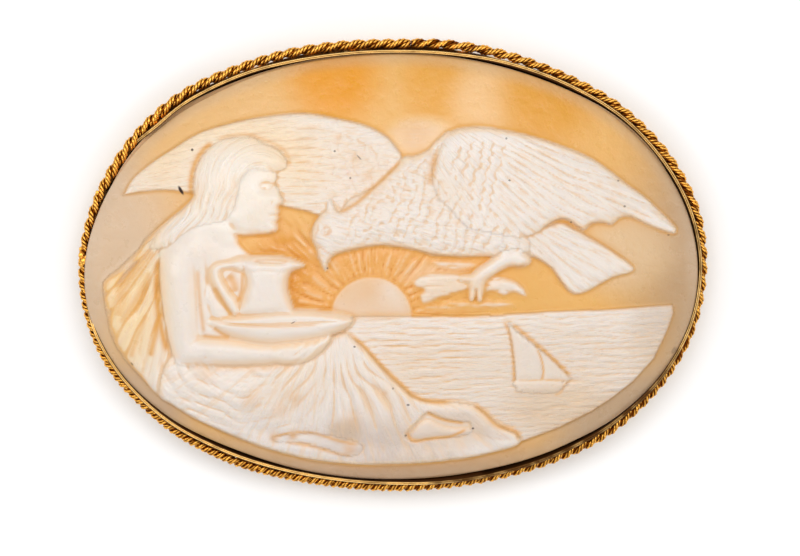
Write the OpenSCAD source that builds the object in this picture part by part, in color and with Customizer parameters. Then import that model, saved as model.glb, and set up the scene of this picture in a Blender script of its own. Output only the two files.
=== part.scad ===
// Oval shell cameo brooch, lying face up on its back rim.
// A domed piece of shell is carved in raised relief with a traditional scene: a seated cup bearer in
// classical dress with a ewer and a bowl, an eagle that bends down to drink, a rising sun, a boat and
// the sea. A gold setting with a rolled lip and a soldered rope border holds the shell, and a plain
// pin crosses the back. +X runs along the oval, +Y is the top of the picture and +Z comes out of the
// face. The origin is in the middle of the back, on the surface that the brooch lies on.

/* [Shell] */
// Length of the carved shell
shell_l = 57.3; // [50:0.1:66]
// Width of the carved shell
shell_w = 40.9; // [36:0.1:46]
// Radius of the oval's end arcs, as a share of half the width
end_round = 0.87; // [0.8:0.01:0.92]
// Rise of the domed face from its edge to its middle
dome_rise = 5; // [3:0.1:7]
// Thickness of the shell at its edge
shell_t = 1.6; // [1.4:0.1:2.6]
// Width of the flat band round the shell's back that lies on the seat
band_w = 1.8; // [1.4:0.1:2.4]

/* [Relief] */
// Height of a bold form above the ground
relief_h = 1.6; // [1:0.1:2.2]
// Width of the slope at the edge of a form
slope_w = 0.8; // [0.5:0.1:1.2]
// Height of a fold, feather or wave above the form that it lies on
ridge_h = 0.2; // [0.1:0.02:0.3]
// Radius of the sun's disc
sun_r = 3.9; // [3:0.1:4.4]

/* [Setting] */
// Play between the shell and the setting
shell_play = 0.1; // [0.05:0.01:0.2]
// Thickness of the bezel wall
wall_t = 0.3; // [0.25:0.05:0.6]
// Diameter of the rolled lip
lip_d = 0.5; // [0.4:0.05:0.7]
// Distance that the lip leans in from the middle of the wall
lip_lean = 0.1; // [0:0.02:0.14]
// Height of the seat that the shell lies on
seat_z = 2; // [1.8:0.1:3]
// Thickness of the seat
seat_t = 0.5; // [0.4:0.05:0.7]
// Width of the seat
seat_w = 1.3; // [1:0.1:1.8]
// Thickness of the flat back rim
rim_t = 0.5; // [0.4:0.05:0.6]
// Width of the flat back rim
rim_w = 2; // [1.6:0.1:3]

/* [Rope border] */
// Diameter over the twisted rope
rope_d = 1.05; // [0.8:0.05:1.4]
// Depth that the rope is soldered into the wall
rope_sink = 0.1; // [0.05:0.01:0.15]
// Drop of the rope's middle below the lip's crest
rope_drop = 1.1; // [1:0.1:1.6]

/* [Pin] */
// Diameter of the pin's stem
stem_d = 0.8; // [0.7:0.1:1]
// Diameter of the hinge's barrel and of the catch
barrel_d = 1.3; // [1.1:0.1:1.4]
// Distance of the stem above the oval's middle line
stem_y = 5; // [3:0.5:7]
// Width of the hinge and of the catch, across the stem
hinge_w = 3; // [2.4:0.1:4]
// Gap between the pin and the setting
pin_gap = 0.05; // [0.03:0.01:0.1]

/* [Hidden] */
$fn = 48;

half_l = shell_l / 2;
half_w = shell_w / 2;
end_r = end_round * half_w;
side_r = (pow(half_l, 2) + pow(half_w, 2) - 2 * half_l * end_r) / (2 * (half_w - end_r));
end_x = half_l - end_r;
side_y = side_r - half_w;
join_a = atan2(side_y, end_x);
corner = [end_x + end_r * cos(join_a), end_r * sin(join_a)];

shell_z = seat_z + shell_play;
edge_z = shell_z + shell_t;
wall_in = shell_play;
wall_out = shell_play + wall_t;
lip_x = (wall_in + wall_out) / 2 - lip_lean;
lip_mid_z = edge_z + shell_play + lip_d / 2;
rope_x = wall_out - rope_sink + rope_d / 2;
rope_z = lip_mid_z + lip_d / 2 - rope_drop;
rim_in = wall_out - rim_w;
seat_in = wall_out - seat_w;

// The four arcs of the setting stop this far from their joints, and a soldered collar spans each one.
joint_gap = 0.1;
collar_l = 0.4;
collar_proud = 0.02;

plate_t = seat_z - seat_t - rim_t - 2 * pin_gap;
stem_z = rim_t + pin_gap + plate_t / 2;
hinge_y = stem_y + hinge_w / 2;
plate_x = end_x + sqrt(pow(end_r + wall_in, 2) - pow(hinge_y, 2)) - pin_gap;
barrel_x = end_x + sqrt(pow(end_r + rim_in, 2) - pow(hinge_y, 2)) - barrel_d / 2 - pin_gap;

// Numbers of cells in the carved face, along and across, and of the cells that share a facet behind.
CELLS = [88, 64];
COARSE = 4;
BACK_RINGS = 4;

GOLD = [0.84, 0.62, 0.22];
IVORY = [0.96, 0.88, 0.78];

// The scene is drawn on a sheet that covers the shell and is ruled in squares. Outlines are places on
// it, in squares from its middle.
SHEET = [57, 41];
square_size = [shell_l / SHEET.x, shell_w / SHEET.y];
slope_squares = slope_w / square_size.x;

far_wing = [
    [-25.6, 7], [-23, 9.9], [-19, 12.4], [-15, 13.8], [-9, 14.5], [-4, 13.7], [-1.4, 12.8],
    [0.7, 10.5], [-2.5, 7.5], [-5.1, 5], [-8, 5.2], [-12, 5.6], [-20, 7.4]];
near_wing = [
    [4.2, 11.4], [6, 13], [10, 13], [14, 12.1], [18, 10.5], [21, 8.9], [24, 6.6], [27, 3.3],
    [24.6, 3.7], [22.7, 4.6], [19, 4.1], [18, 3.4], [16, 4.3], [12.2, 2.8], [8, 3], [4.4, 5]];
bird = [
    [-5, 5.1], [-4.1, 6.3], [-2, 7.3], [0.7, 9.8], [3, 10.8], [5, 12], [9, 8], [12.9, 3],
    [12.6, 1.2], [7, 0.8], [3.2, 1], [-0.6, 1.9], [-4, 1.5], [-5.7, 0.9], [-6.4, -0.5], [-7.2, 1],
    [-7.7, 2.8], [-7.4, 4.2], [-6.6, 5], [-6, 6.1], [-5.6, 5.2]];
tail = [
    [12.2, 2.9], [16.1, 4], [18.8, 2.7], [22.9, -0.2], [22, -1], [18, -2.8], [16.3, -1.9],
    [12.6, 1.2]];
leg = [
    [13, 1.2], [12, 1.4], [8.6, -0.5], [6.8, -1.4], [6.8, -2.2], [8.2, -3.2], [9.2, -1.8],
    [12, -0.3], [13.2, 0.4]];
high_cloud = [[-0.8, 13.1], [1, 13.7], [3.4, 14], [4.6, 13.2], [4, 11.5], [1, 10.3]];
low_cloud = [[2, -1.8], [5, -1], [13, -1.4], [13, -3.2], [8.5, -4.2], [4, -3]];
sea = [
    [-4, -4.9], [10, -4.9], [20, -4.3], [26.8, -3.8], [26.2, -6.5], [24, -10.2], [20, -13.5],
    [16, -15.6], [11, -17.5], [2, -18.8], [-2, -12]];
sail = [[11, -5.6], [13, -7.2], [15, -8.8], [17, -10.9], [11.8, -11.2], [11.3, -8]];
hull = [[11.8, -11], [16.4, -11], [15.8, -12.1], [12.1, -12.1]];
veil = [
    [-21.5, 3.4], [-24.1, 1.9], [-27.4, -1.5], [-27.4, -4], [-26.3, -8], [-24, -11], [-20, -14.2],
    [-16, -16], [-14, -12], [-20, -8], [-21, -2]];
torso = [
    [-17.5, 4.5], [-13.6, 3], [-12.6, 1], [-12.4, -3], [-14, -8], [-21, -8], [-22.4, -2],
    [-22, 1], [-20, 3]];
hair = [
    [-14, 12.3], [-16.8, 11.8], [-18.7, 9.9], [-19.1, 7], [-21.3, 4.2], [-23, 2.4], [-17, 2],
    [-15, 4.5], [-14.6, 7.5], [-13, 9.4], [-11, 9.2], [-10.3, 10.2], [-11.6, 11.4], [-13, 12.1]];
upper_arm = [
    [-22, 1.2], [-19.6, 1.6], [-18.8, -1.5], [-18.4, -6], [-18, -9.4], [-20.6, -9.4], [-21.8, -6],
    [-22.4, -2]];
forearm = [
    [-20.8, -7.6], [-18, -6.9], [-14, -7.4], [-10, -7.5], [-7.6, -6.9], [-6.2, -7.2],
    [-7.2, -8.3], [-9.5, -9.4], [-14, -9.7], [-20.2, -9.7]];
ewer = [
    [-15.4, 0.6], [-12, 0.9], [-8.5, 0.1], [-9.9, -0.8], [-10.1, -2], [-9.4, -4.6],
    [-14.9, -4.8], [-14.1, -2], [-14.3, -0.9]];
handle = [
    [-15, 0.5], [-17.5, 0.3], [-17.5, -1.5], [-16, -4], [-15, -4.7], [-14.9, -4], [-16, -2.9],
    [-16.4, -1.4], [-16.4, -0.6], [-15.2, -0.3]];
bowl = [
    [-17.8, -5.3], [-14, -4.7], [-8, -4.3], [-3.9, -5.1], [-5, -6.3], [-8, -7.2], [-12, -7.6],
    [-16, -6.8]];
skirt = [
    [-20.4, -9.4], [-12, -9], [-8, -8.4], [-4.7, -6.6], [-2, -8.9], [1, -11.9], [4, -13.1],
    [8.3, -13.8], [11.8, -16], [10, -17.9], [4, -18.8], [-2, -19.1], [-8, -18.6], [-12, -17.6],
    [-17, -15.6], [-20.4, -13.5]];
foot = [[1.4, -16], [3, -14.7], [5, -15.1], [7.6, -15.4], [6.5, -16.4], [2, -16.8]];

sun_at = [-2.1, -5];
sun_squares = sun_r / square_size.x;
sun = half_disc(sun_squares);
glory = half_disc(2 * sun_squares);

// The face is drawn on proportions that any carver uses, as shares of the head's height: each row is
// the drop from the crown and the reach in front of the forehead, from the hairline to the throat.
head_h = 9.2;
crown_y = 12.2;
face_x = -11.3;
ear_x = -15.4;
profile = [
    [0.25, 0], [0.42, 0.01], [0.5, -0.01], [0.6, 0.05], [0.66, 0.08], [0.7, 0.03], [0.75, 0.04],
    [0.78, 0.02], [0.82, 0.035], [0.87, 0.01], [0.94, 0.03], [1, -0.02], [1.03, -0.12]];
face = concat(
    [for (row = profile) [face_x + row.y * head_h, crown_y - row.x * head_h]],
    [[ear_x, crown_y - head_h], [ear_x, crown_y - head_h / 4]]);

// Columns of the table of forms: the outline, the height as a share of relief_h, the width in squares
// over which it swells, the place that its ridges curve or fan about, and their pitch, in squares
// for ridges that curve and in degrees for ridges that fan.
OUTLINE = 0;
HIGH = 1;
SWELL = 2;
PIVOT = 3;
CURVED = 4;
FANNED = 5;
FORMS = [
    [glory, 0.03, 1, sun_at, 0, 15],
    [high_cloud, 0.15, 1, [0, 0], 0, 0],
    [low_cloud, 0.25, 1, [8, 30], 1.4, 0],
    [far_wing, 0.45, 1.5, [-9.5, -8.3], 1.6, 0],
    [sun, 0.3, 1, [0, 0], 0, 0],
    [sea, 0.2, 0.6, [10, -200], 1.5, 0],
    [sail, 0.5, 2, [0, 0], 0, 0],
    [hull, 0.5, 0.8, [0, 0], 0, 0],
    [tail, 0.6, 1.5, [12, 14], 1.6, 0],
    [bird, 1.15, 2.5, [0, 0], 0, 0],
    [near_wing, 1, 1.5, [6.7, -13.8], 1.8, 0],
    [leg, 0.8, 0.8, [0, 0], 0, 0],
    [veil, 0.5, 2, [-20, 8], 0, 14],
    [torso, 0.85, 2.5, [0, 0], 0, 0],
    [face, 0.95, 2.5, [0, 0], 0, 0],
    [hair, 1.1, 3, [0, 0], 0, 0],
    [skirt, 1, 4, [-6, -3], 0, 15],
    [foot, 1, 0.8, [0, 0], 0, 0],
    [upper_arm, 1.2, 1.8, [0, 0], 0, 0],
    [forearm, 1.2, 1.3, [0, 0], 0, 0],
    [handle, 1.1, 0.5, [0, 0], 0, 0],
    [ewer, 1.25, 2, [0, 0], 0, 0],
    [bowl, 1.45, 1.8, [0, 0], 0, 0]];
// Share of a form's height that its edge has before it swells.
RIM = 0.5;

// The upper half of a disc round the sun's middle.
function half_disc(r) = [for (a = [0:15:180]) sun_at + r * [cos(a), sin(a)]];

// Height of the shell's domed face at a point, before it is carved.
function dome(p) = edge_z + dome_rise * (1 - pow(p.x / half_l, 2) - pow(p.y / half_w, 2));

function total(list) = list * [for (item = list) 1];

// How deep a place lies inside an outline, and below 0 how far outside it.
function depth(p, outline) = let (
    n = len(outline),
    sides = [for (i = [0:n - 1]) [outline[i], outline[(i + 1) % n]]],
    crossed = total([for (s = sides)
        (s[0].y > p.y) != (s[1].y > p.y)
        && p.x < s[0].x + (s[1].x - s[0].x) * (p.y - s[0].y) / (s[1].y - s[0].y) ? 1 : 0]),
    away = min([for (s = sides) let (
        run = s[1] - s[0],
        t = max(0, min(1, (p - s[0]) * run / (run * run)))
    ) norm(p - s[0] - t * run)])
) crossed % 2 == 1 ? away : -away;

// Height of a form's ridges, from 0 in a furrow to 1 on a crest.
function ridge(p, form) =
    let (from = p - form[PIVOT])
    form[CURVED] > 0 ? (1 + cos(360 * norm(from) / form[CURVED])) / 2
    : form[FANNED] > 0 ? (1 + cos(360 * atan2(from.y, from.x) / form[FANNED])) / 2
    : 0;

// Height of one form above the ground at a place on the sheet.
function form_height(p, form) =
    let (d = depth(p, form[OUTLINE]), foot = slope_squares / 2)
    d < -foot ? 0 : let (
        rise = (1 - cos(180 * min(1, (d + foot) / slope_squares))) / 2,
        swell = sqrt(1 - pow(1 - min(1, max(0, d) / form[SWELL]), 2))
    ) rise * (relief_h * form[HIGH] * (RIM + (1 - RIM) * swell) + ridge_h * ridge(p, form));

// The corners of the box round each form, with its slope.
BOXES = [for (form = FORMS) let (
    x = [for (q = form[OUTLINE]) q.x],
    y = [for (q = form[OUTLINE]) q.y]
) [[min(x) - slope_squares, min(y) - slope_squares], [max(x) + slope_squares, max(y) + slope_squares]]];

function in_box(p, box) = p.x > box[0].x && p.x < box[1].x && p.y > box[0].y && p.y < box[1].y;

// Height of the carving above the ground at a point of the shell.
function carving(at) =
    let (p = [at.x / square_size.x, at.y / square_size.y])
    max(concat([0], [for (i = [0:len(FORMS) - 1]) in_box(p, BOXES[i]) ? form_height(p, FORMS[i]) : 0]));

// The point where a ray from the middle, at angle a, leaves the oval.
function on_edge(a) =
    let (
        c = abs(cos(a)),
        s = abs(sin(a)),
        on_end = s * corner.x <= c * corner.y,
        reach = on_end ? c * end_x : -s * side_y,
        gap = on_end ? pow(end_r, 2) - pow(end_x, 2) : pow(side_r, 2) - pow(side_y, 2)
    ) (reach + sqrt(pow(reach, 2) + gap)) * [cos(a), sin(a)];

// A point of the oval for a place [u, v] in a square that runs from -1 to 1 both ways.
function in_oval(u, v) =
    let (
        x = u * sqrt(1 - v * v / 2),
        y = v * sqrt(1 - u * u / 2),
        share = norm([x, y])
    ) share == 0 ? [0, 0] : share * on_edge(atan2(half_w * y, half_l * x));

// The carved shell: a raised and domed face, an upright edge, and a hollow back in a flat band.
module cameo() {
    nx = CELLS.x;
    ny = CELLS.y;
    face_points = [for (j = [0:ny], i = [0:nx]) let (
        p = in_oval(2 * i / nx - 1, 2 * j / ny - 1),
        rim = i == 0 || i == nx || j == 0 || j == ny
    ) [p.x, p.y, rim ? edge_z : dome(p) + carving(p)]];
    at = function (i, j) j * (nx + 1) + i;
    rise = function (p, q) abs(face_points[p].z - face_points[q].z);
    edge = concat(
        [for (i = [0:nx - 1]) at(i, 0)], [for (j = [0:ny - 1]) at(nx, j)],
        [for (i = [nx:-1:1]) at(i, ny)], [for (j = [ny:-1:1]) at(0, j)]);

    n = len(edge) / COARSE;
    rim_points = [for (k = [0:n - 1]) let (p = face_points[edge[COARSE * k]]) [p.x, p.y]];
    band_share = 1 - band_w / half_w;
    lift = dome_rise * (1 - pow(band_share, 2));
    back_points = concat(
        [for (p = rim_points) [p.x, p.y, shell_z]],
        [for (r = [BACK_RINGS:-1:1], p = rim_points) let (q = p * band_share * r / BACK_RINGS)
            [q.x, q.y, shell_z + max(0, dome(q) - edge_z - lift)]]);
    crown = [0, 0, shell_z + dome_rise - lift];
    back = function (r, k) len(face_points) + r * n + k % n;

    face_tris = [for (j = [0:ny - 1], i = [0:nx - 1]) let (
        a = at(i, j),
        b = at(i + 1, j),
        c = at(i + 1, j + 1),
        d = at(i, j + 1),
        corner_cell = (i == 0 || i == nx - 1) && (j == 0 || j == ny - 1),
        slant = corner_cell ? (i == 0) == (j == 0) : rise(a, c) < rise(b, d)
    ) each slant ? [[a, c, b], [a, d, c]] : [[a, d, b], [b, d, c]]];
    edge_tris = [for (k = [0:n - 1]) each concat(
        [for (s = [0:COARSE - 1]) let (e = COARSE * k + s)
            [edge[e], edge[(e + 1) % len(edge)], s < COARSE / 2 ? back(0, k) : back(0, k + 1)]],
        [[edge[COARSE * k + COARSE / 2], back(0, k + 1), back(0, k)]])];
    back_tris = [for (r = [0:BACK_RINGS - 1], k = [0:n - 1]) each [
        [back(r, k), back(r, k + 1), back(r + 1, k + 1)],
        [back(r, k), back(r + 1, k + 1), back(r + 1, k)]]];
    crown_tris = [for (k = [0:n - 1]) [len(face_points) + len(back_points),
        back(BACK_RINGS, k), back(BACK_RINGS, k + 1)]];
    color(IVORY) polyhedron(
        concat(face_points, back_points, [crown]),
        concat(face_tris, edge_tris, back_tris, crown_tris));
}

// The setting's section, grown by a small margin. Its x is the distance out from the shell's edge.
module section(grow = 0) {
    translate([wall_in - grow, grow]) square([wall_t + 2 * grow, lip_mid_z - grow]);
    translate([lip_x, lip_mid_z]) circle(d = lip_d + 2 * grow);
    translate([seat_in - grow, seat_z - seat_t - grow]) square([seat_w + grow, seat_t + 2 * grow]);
    translate([rim_in - grow, grow]) square([rim_w + grow, rim_t]);
    translate([rope_x, rope_z]) circle(d = rope_d + 2 * grow);
}

// One arc of the setting, of the given radius at the shell's edge, between two of its joints.
module arc(r, angle) {
    gap = joint_gap / r * 180 / PI;
    rotate(90 - angle / 2 + gap / 2) rotate_extrude(angle = angle - gap, $fn = 120)
        translate([r, 0]) section();
}

module collar() {
    translate([0, collar_l / 2, 0]) rotate([90, 0, 0]) linear_extrude(collar_l) section(collar_proud);
}

module setting() {
    color(GOLD) for (side = [0, 180]) rotate(side) {
        translate([end_x, 0]) rotate(-90) arc(end_r, 2 * join_a);
        translate([0, -side_y]) arc(side_r, 180 - 2 * join_a);
        translate([corner.x, corner.y, 0]) rotate(join_a) collar();
        translate([-corner.x, corner.y, 0]) rotate(180 - join_a) collar();
    }
}

// One end of the pin: a plate that lies on the back rim, and a barrel that holds the stem.
module pin_end() {
    translate([barrel_x, -hinge_w / 2, -plate_t / 2]) cube([plate_x - barrel_x, hinge_w, plate_t]);
    translate([barrel_x, hinge_w / 2, 0]) rotate([90, 0, 0]) cylinder(d = barrel_d, h = hinge_w);
}

module pin() {
    color(GOLD) translate([0, stem_y, stem_z]) {
        translate([-barrel_x, 0, 0]) rotate([0, 90, 0]) cylinder(d = stem_d, h = 2 * barrel_x);
        pin_end();
        rotate(180) pin_end();
    }
}

cameo();
setting();
pin();
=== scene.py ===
# %% [markdown]
# Cameo brooch
#
# The real object is a large oval of helmet shell, carved in relief through its white layer down to the
# amber one, in a gold setting with a border of twisted wire. Here the measured solids come in as a
# fixed frame, and Blender gives each its visible form: the shell as one finely carved surface, the
# setting with its rolled lip, and the rope as real wires. The frame says where everything goes, so no
# piece has to be fitted by eye. Lengths are in metres, as in the frame; the helpers turn millimetres
# into metres.

import bmesh
import bpy
import numpy as np
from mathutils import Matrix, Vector


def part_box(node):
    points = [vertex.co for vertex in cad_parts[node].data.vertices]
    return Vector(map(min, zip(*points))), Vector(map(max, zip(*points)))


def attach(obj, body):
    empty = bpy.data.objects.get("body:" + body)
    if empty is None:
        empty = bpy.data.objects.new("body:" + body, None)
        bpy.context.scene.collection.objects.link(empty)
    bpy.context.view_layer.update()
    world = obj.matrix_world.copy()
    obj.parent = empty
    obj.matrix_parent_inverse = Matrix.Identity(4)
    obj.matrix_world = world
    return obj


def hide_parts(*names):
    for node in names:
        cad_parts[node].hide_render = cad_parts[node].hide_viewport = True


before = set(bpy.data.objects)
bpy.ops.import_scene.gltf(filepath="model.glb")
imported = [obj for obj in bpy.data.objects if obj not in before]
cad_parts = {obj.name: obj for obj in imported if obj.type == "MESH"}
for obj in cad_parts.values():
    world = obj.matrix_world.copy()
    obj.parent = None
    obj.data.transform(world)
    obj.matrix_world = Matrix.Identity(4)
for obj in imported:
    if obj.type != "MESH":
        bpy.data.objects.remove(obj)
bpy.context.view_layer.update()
shell_low, shell_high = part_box("cameo")
setting_low, setting_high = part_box("setting")
shell_size = shell_high - shell_low
setting_size = setting_high - setting_low
print("shell, mm:", [round(v * 1000, 2) for v in shell_size])
print("setting, mm:", [round(v * 1000, 2) for v in setting_size])

# %% [markdown]
# The photograph looks almost straight down on the face, a little from the side of the picture's top,
# as more of the outer wall shows there. A long lens, over a third of a metre away, keeps the oval from
# bulging.

# %% The camera
MM = 0.001
CAMERA_TILT = np.radians(4.5)
CAMERA_ROLL = np.radians(0.39)
CAMERA_AWAY = 0.36
RIM_HEIGHT = 0.0032
LENS_WIDTH = 36.0
PICTURE_WIDTH = 76.6 * MM
camera_data = bpy.data.cameras.new("camera")
camera = bpy.data.objects.new("camera", camera_data)
bpy.context.scene.collection.objects.link(camera)
camera_data.sensor_width = LENS_WIDTH
camera_data.lens = LENS_WIDTH * CAMERA_AWAY / PICTURE_WIDTH
camera_data.clip_start = 0.01
camera_data.clip_end = 5.0
# The picture's middle, from the middle of the oval as the photograph shows it, and the place of the
# brooch that is seen there, both in millimetres.
PICTURE_MIDDLE = (0.65, -1.21)
AIM = (0.65, -1.1)
aim = Vector((AIM[0] * MM, AIM[1] * MM, RIM_HEIGHT))
camera.rotation_euler = (-CAMERA_TILT, 0, CAMERA_ROLL)
camera.location = aim + camera.rotation_euler.to_matrix() @ Vector((0, 0, CAMERA_AWAY))
bpy.context.scene.camera = camera
to_camera = np.array(camera.rotation_euler.to_matrix()).T


def in_picture(x, y, z):
    """Where the camera sees a place: in millimetres of the rim's plane, from the oval's middle in the
    photograph."""
    x, y, z = np.broadcast_arrays(x, y, z)
    from_camera = np.stack([x, y, z], -1) * MM - np.array(camera.location)
    right, up, back = np.moveaxis(from_camera @ to_camera.T, -1, 0)
    scale = CAMERA_AWAY / MM / -back
    return right * scale + PICTURE_MIDDLE[0], up * scale + PICTURE_MIDDLE[1]


def looks_outside(x, y, z, normal_x, normal_y):
    """How much further out along a direction the camera sees a place than it is."""
    picture_x, picture_y = in_picture(x, y, z)
    c, s = np.cos(CAMERA_ROLL), np.sin(CAMERA_ROLL)
    return (c * picture_x - s * picture_y - x) * normal_x + (s * picture_x + c * picture_y - y) * normal_y


print(f"lens {camera_data.lens:.0f} mm")

# %% [markdown]
# The carver works the whole scene out of one domed shell, so the relief here is one height map: for
# every place on the oval it says how far the surface stands above the ground. Each form is laid over
# the ones behind it, as the carver sees them, from an outline with a few points. All the places are in
# millimetres from the middle of the oval. A height map was chosen over many small solids because the
# real relief has no seams: where a wing passes behind a head there is only a step in one surface.

# %% Helpers for outlines and noise


def smooth_line(points, closed=False, steps=8):
    """Points along a smooth curve through the given ones."""
    p = np.array(points, float)
    if closed:
        before, after, further = np.roll(p, 1, 0), np.roll(p, -1, 0), np.roll(p, -2, 0)
        here = p
    else:
        before = np.vstack([p[:1], p[:-2]])
        here, after = p[:-1], p[1:]
        further = np.vstack([p[2:], p[-1:]])
    curve = []
    for t in np.arange(steps) / steps:
        bend = (2 * before - 5 * here + 4 * after - further) * t**2
        turn = (3 * here - before - 3 * after + further) * t**3
        curve.append(0.5 * (2 * here + (after - before) * t + bend + turn))
    curve = np.stack(curve, 1).reshape(-1, p.shape[1])
    return curve if closed else np.vstack([curve, p[-1:]])


def smooth_step(t):
    """A soft rise from 0 to 1."""
    t = np.clip(t, 0, 1)
    return t * t * (3 - 2 * t)


def noise(x, y, size, seed):
    """Soft random hills of about the given size, from -1 to 1."""
    grid = np.random.default_rng(seed).uniform(-1, 1, (256, 256))
    gx, gy = x / size + 1000, y / size + 1000
    ix, iy = np.floor(gx).astype(int), np.floor(gy).astype(int)
    tx, ty = smooth_step(gx - ix), smooth_step(gy - iy)
    corner = [[grid[(iy + j) % 256, (ix + i) % 256] for i in (0, 1)] for j in (0, 1)]
    low = corner[0][0] * (1 - tx) + corner[0][1] * tx
    high = corner[1][0] * (1 - tx) + corner[1][1] * tx
    return low * (1 - ty) + high * ty


def crest(phase, sharp=1.0):
    """Ridges with round tops and narrow furrows: 0 in a furrow and 1 on a crest."""
    return np.abs(np.sin(np.pi * phase)) ** sharp


print("a curve through 3 places:", len(smooth_line([(0, 0), (1, 1), (2, 0)])), "points")

# %% Distances from outlines and paths


def turned(x, y, turn):
    """How far each place lies along and across a direction of turn degrees."""
    c, s = np.cos(np.radians(turn)), np.sin(np.radians(turn))
    return x * c + y * s, -x * s + y * c


def depth_inside(x, y, outline):
    """How deep each place lies inside a closed outline, below 0 outside it."""
    nearest = np.full(x.shape, 1e9)
    inside = np.zeros(x.shape, bool)
    for (ax, ay), (bx, by) in zip(outline, np.roll(outline, -1, 0)):
        run_x, run_y = bx - ax, by - ay
        share = np.clip(((x - ax) * run_x + (y - ay) * run_y) / (run_x**2 + run_y**2 + 1e-12), 0, 1)
        nearest = np.minimum(nearest, (x - ax - share * run_x) ** 2 + (y - ay - share * run_y) ** 2)
        if ay != by:
            inside ^= ((ay > y) != (by > y)) & (x < ax + run_x * (y - ay) / run_y)
    return np.where(inside, 1, -1) * np.sqrt(nearest)


def along_path(x, y, path):
    """The distance of each place from a path, its share of the way along, and its side."""
    nearest = np.full(x.shape, 1e9)
    share_along = np.zeros(x.shape)
    side = np.zeros(x.shape)
    lengths = np.hypot(*np.diff(path, axis=0).T)
    total, gone = lengths.sum() + 1e-9, 0
    for (ax, ay), (bx, by), length in zip(path[:-1], path[1:], lengths):
        run_x, run_y = bx - ax, by - ay
        share = np.clip(((x - ax) * run_x + (y - ay) * run_y) / (length**2 + 1e-12), 0, 1)
        away = np.hypot(x - ax - share * run_x, y - ay - share * run_y)
        closer = away < nearest
        nearest = np.where(closer, away, nearest)
        share_along = np.where(closer, (gone + share * length) / total, share_along)
        side = np.where(closer, run_x * (y - ay) - run_y * (x - ax), side)
        gone += length
    return nearest, share_along, np.sign(side)


SQUARE = np.array([(-1, -1), (1, -1), (1, 1), (-1, 1)], float)
middle_depth = depth_inside(np.zeros(1), np.zeros(1), SQUARE)[0]
print("the middle of a square of 2 mm is", middle_depth, "mm inside")

# %% The oval of the shell's edge
half_length = shell_size.x / MM / 2
half_width = shell_size.y / MM / 2
END_ROUND = 0.87
end_radius = END_ROUND * half_width
side_radius = (half_length**2 + half_width**2 - 2 * half_length * end_radius) / (
    2 * (half_width - end_radius)
)
end_middle = half_length - end_radius
side_middle = side_radius - half_width
join_angle = np.arctan2(side_middle, end_middle)
quarter = end_radius * join_angle + side_radius * (np.pi / 2 - join_angle)
print(f"oval: end arcs {end_radius:.2f} mm, side arcs {side_radius:.2f} mm, round {4 * quarter:.1f} mm")


def oval_reach(angle):
    """The distance from the middle to the shell's edge, along a direction."""
    c, s = np.abs(np.cos(angle)), np.abs(np.sin(angle))
    corner_x = end_middle + end_radius * np.cos(join_angle)
    corner_y = end_radius * np.sin(join_angle)
    on_end = s * corner_x <= c * corner_y
    reach = np.where(on_end, c * end_middle, -s * side_middle)
    gap = np.where(on_end, end_radius**2 - end_middle**2, side_radius**2 - side_middle**2)
    return reach + np.sqrt(reach**2 + gap)


def round_rim(x, y):
    """For places near the edge: the share of the way round it, from the right end and up, how far
    outside it they are, and the direction outward."""
    ax, ay = np.abs(x), np.abs(y)
    on_end = np.arctan2(ay, ax - end_middle) < join_angle
    from_x = np.where(on_end, ax - end_middle, ax)
    from_y = np.where(on_end, ay, ay + side_middle)
    angle = np.arctan2(from_y, from_x)
    outside = np.hypot(from_x, from_y) - np.where(on_end, end_radius, side_radius)
    gone = np.where(on_end, end_radius * angle, end_radius * join_angle + side_radius * (angle - join_angle))
    gone = np.where(x < 0, 2 * quarter - gone, gone)
    gone = np.where(y < 0, 4 * quarter - gone, gone)
    flip_x, flip_y = np.where(x < 0, -1, 1), np.where(y < 0, -1, 1)
    return gone / (4 * quarter) % 1, outside, flip_x * np.cos(angle), flip_y * np.sin(angle)


def rim_line(way):
    """Places on the edge, and the direction outward there, for shares of the way round."""
    gone = (way % 1) * 4 * quarter
    up, left = gone < 2 * quarter, (gone > quarter) & (gone < 3 * quarter)
    gone = np.where(up, gone, 4 * quarter - gone)
    gone = np.where(gone > quarter, 2 * quarter - gone, gone)
    on_end = gone < end_radius * join_angle
    angle = np.where(
        on_end, gone / end_radius, join_angle + (gone - end_radius * join_angle) / side_radius)
    radius = np.where(on_end, end_radius, side_radius)
    x = np.where(on_end, end_middle, 0) + radius * np.cos(angle)
    y = np.where(on_end, 0, -side_middle) + radius * np.sin(angle)
    flip_x, flip_y = np.where(left, -1, 1), np.where(up, 1, -1)
    return flip_x * x, flip_y * y, flip_x * np.cos(angle), flip_y * np.sin(angle)

# %% [markdown]
# A brooch like this is bent and pressed by hand, so nothing follows the oval exactly. These tables
# say how far outside the shell's nominal edge each thing lies, in millimetres, at 32 even steps round
# it from the right end and up over the top.

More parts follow.
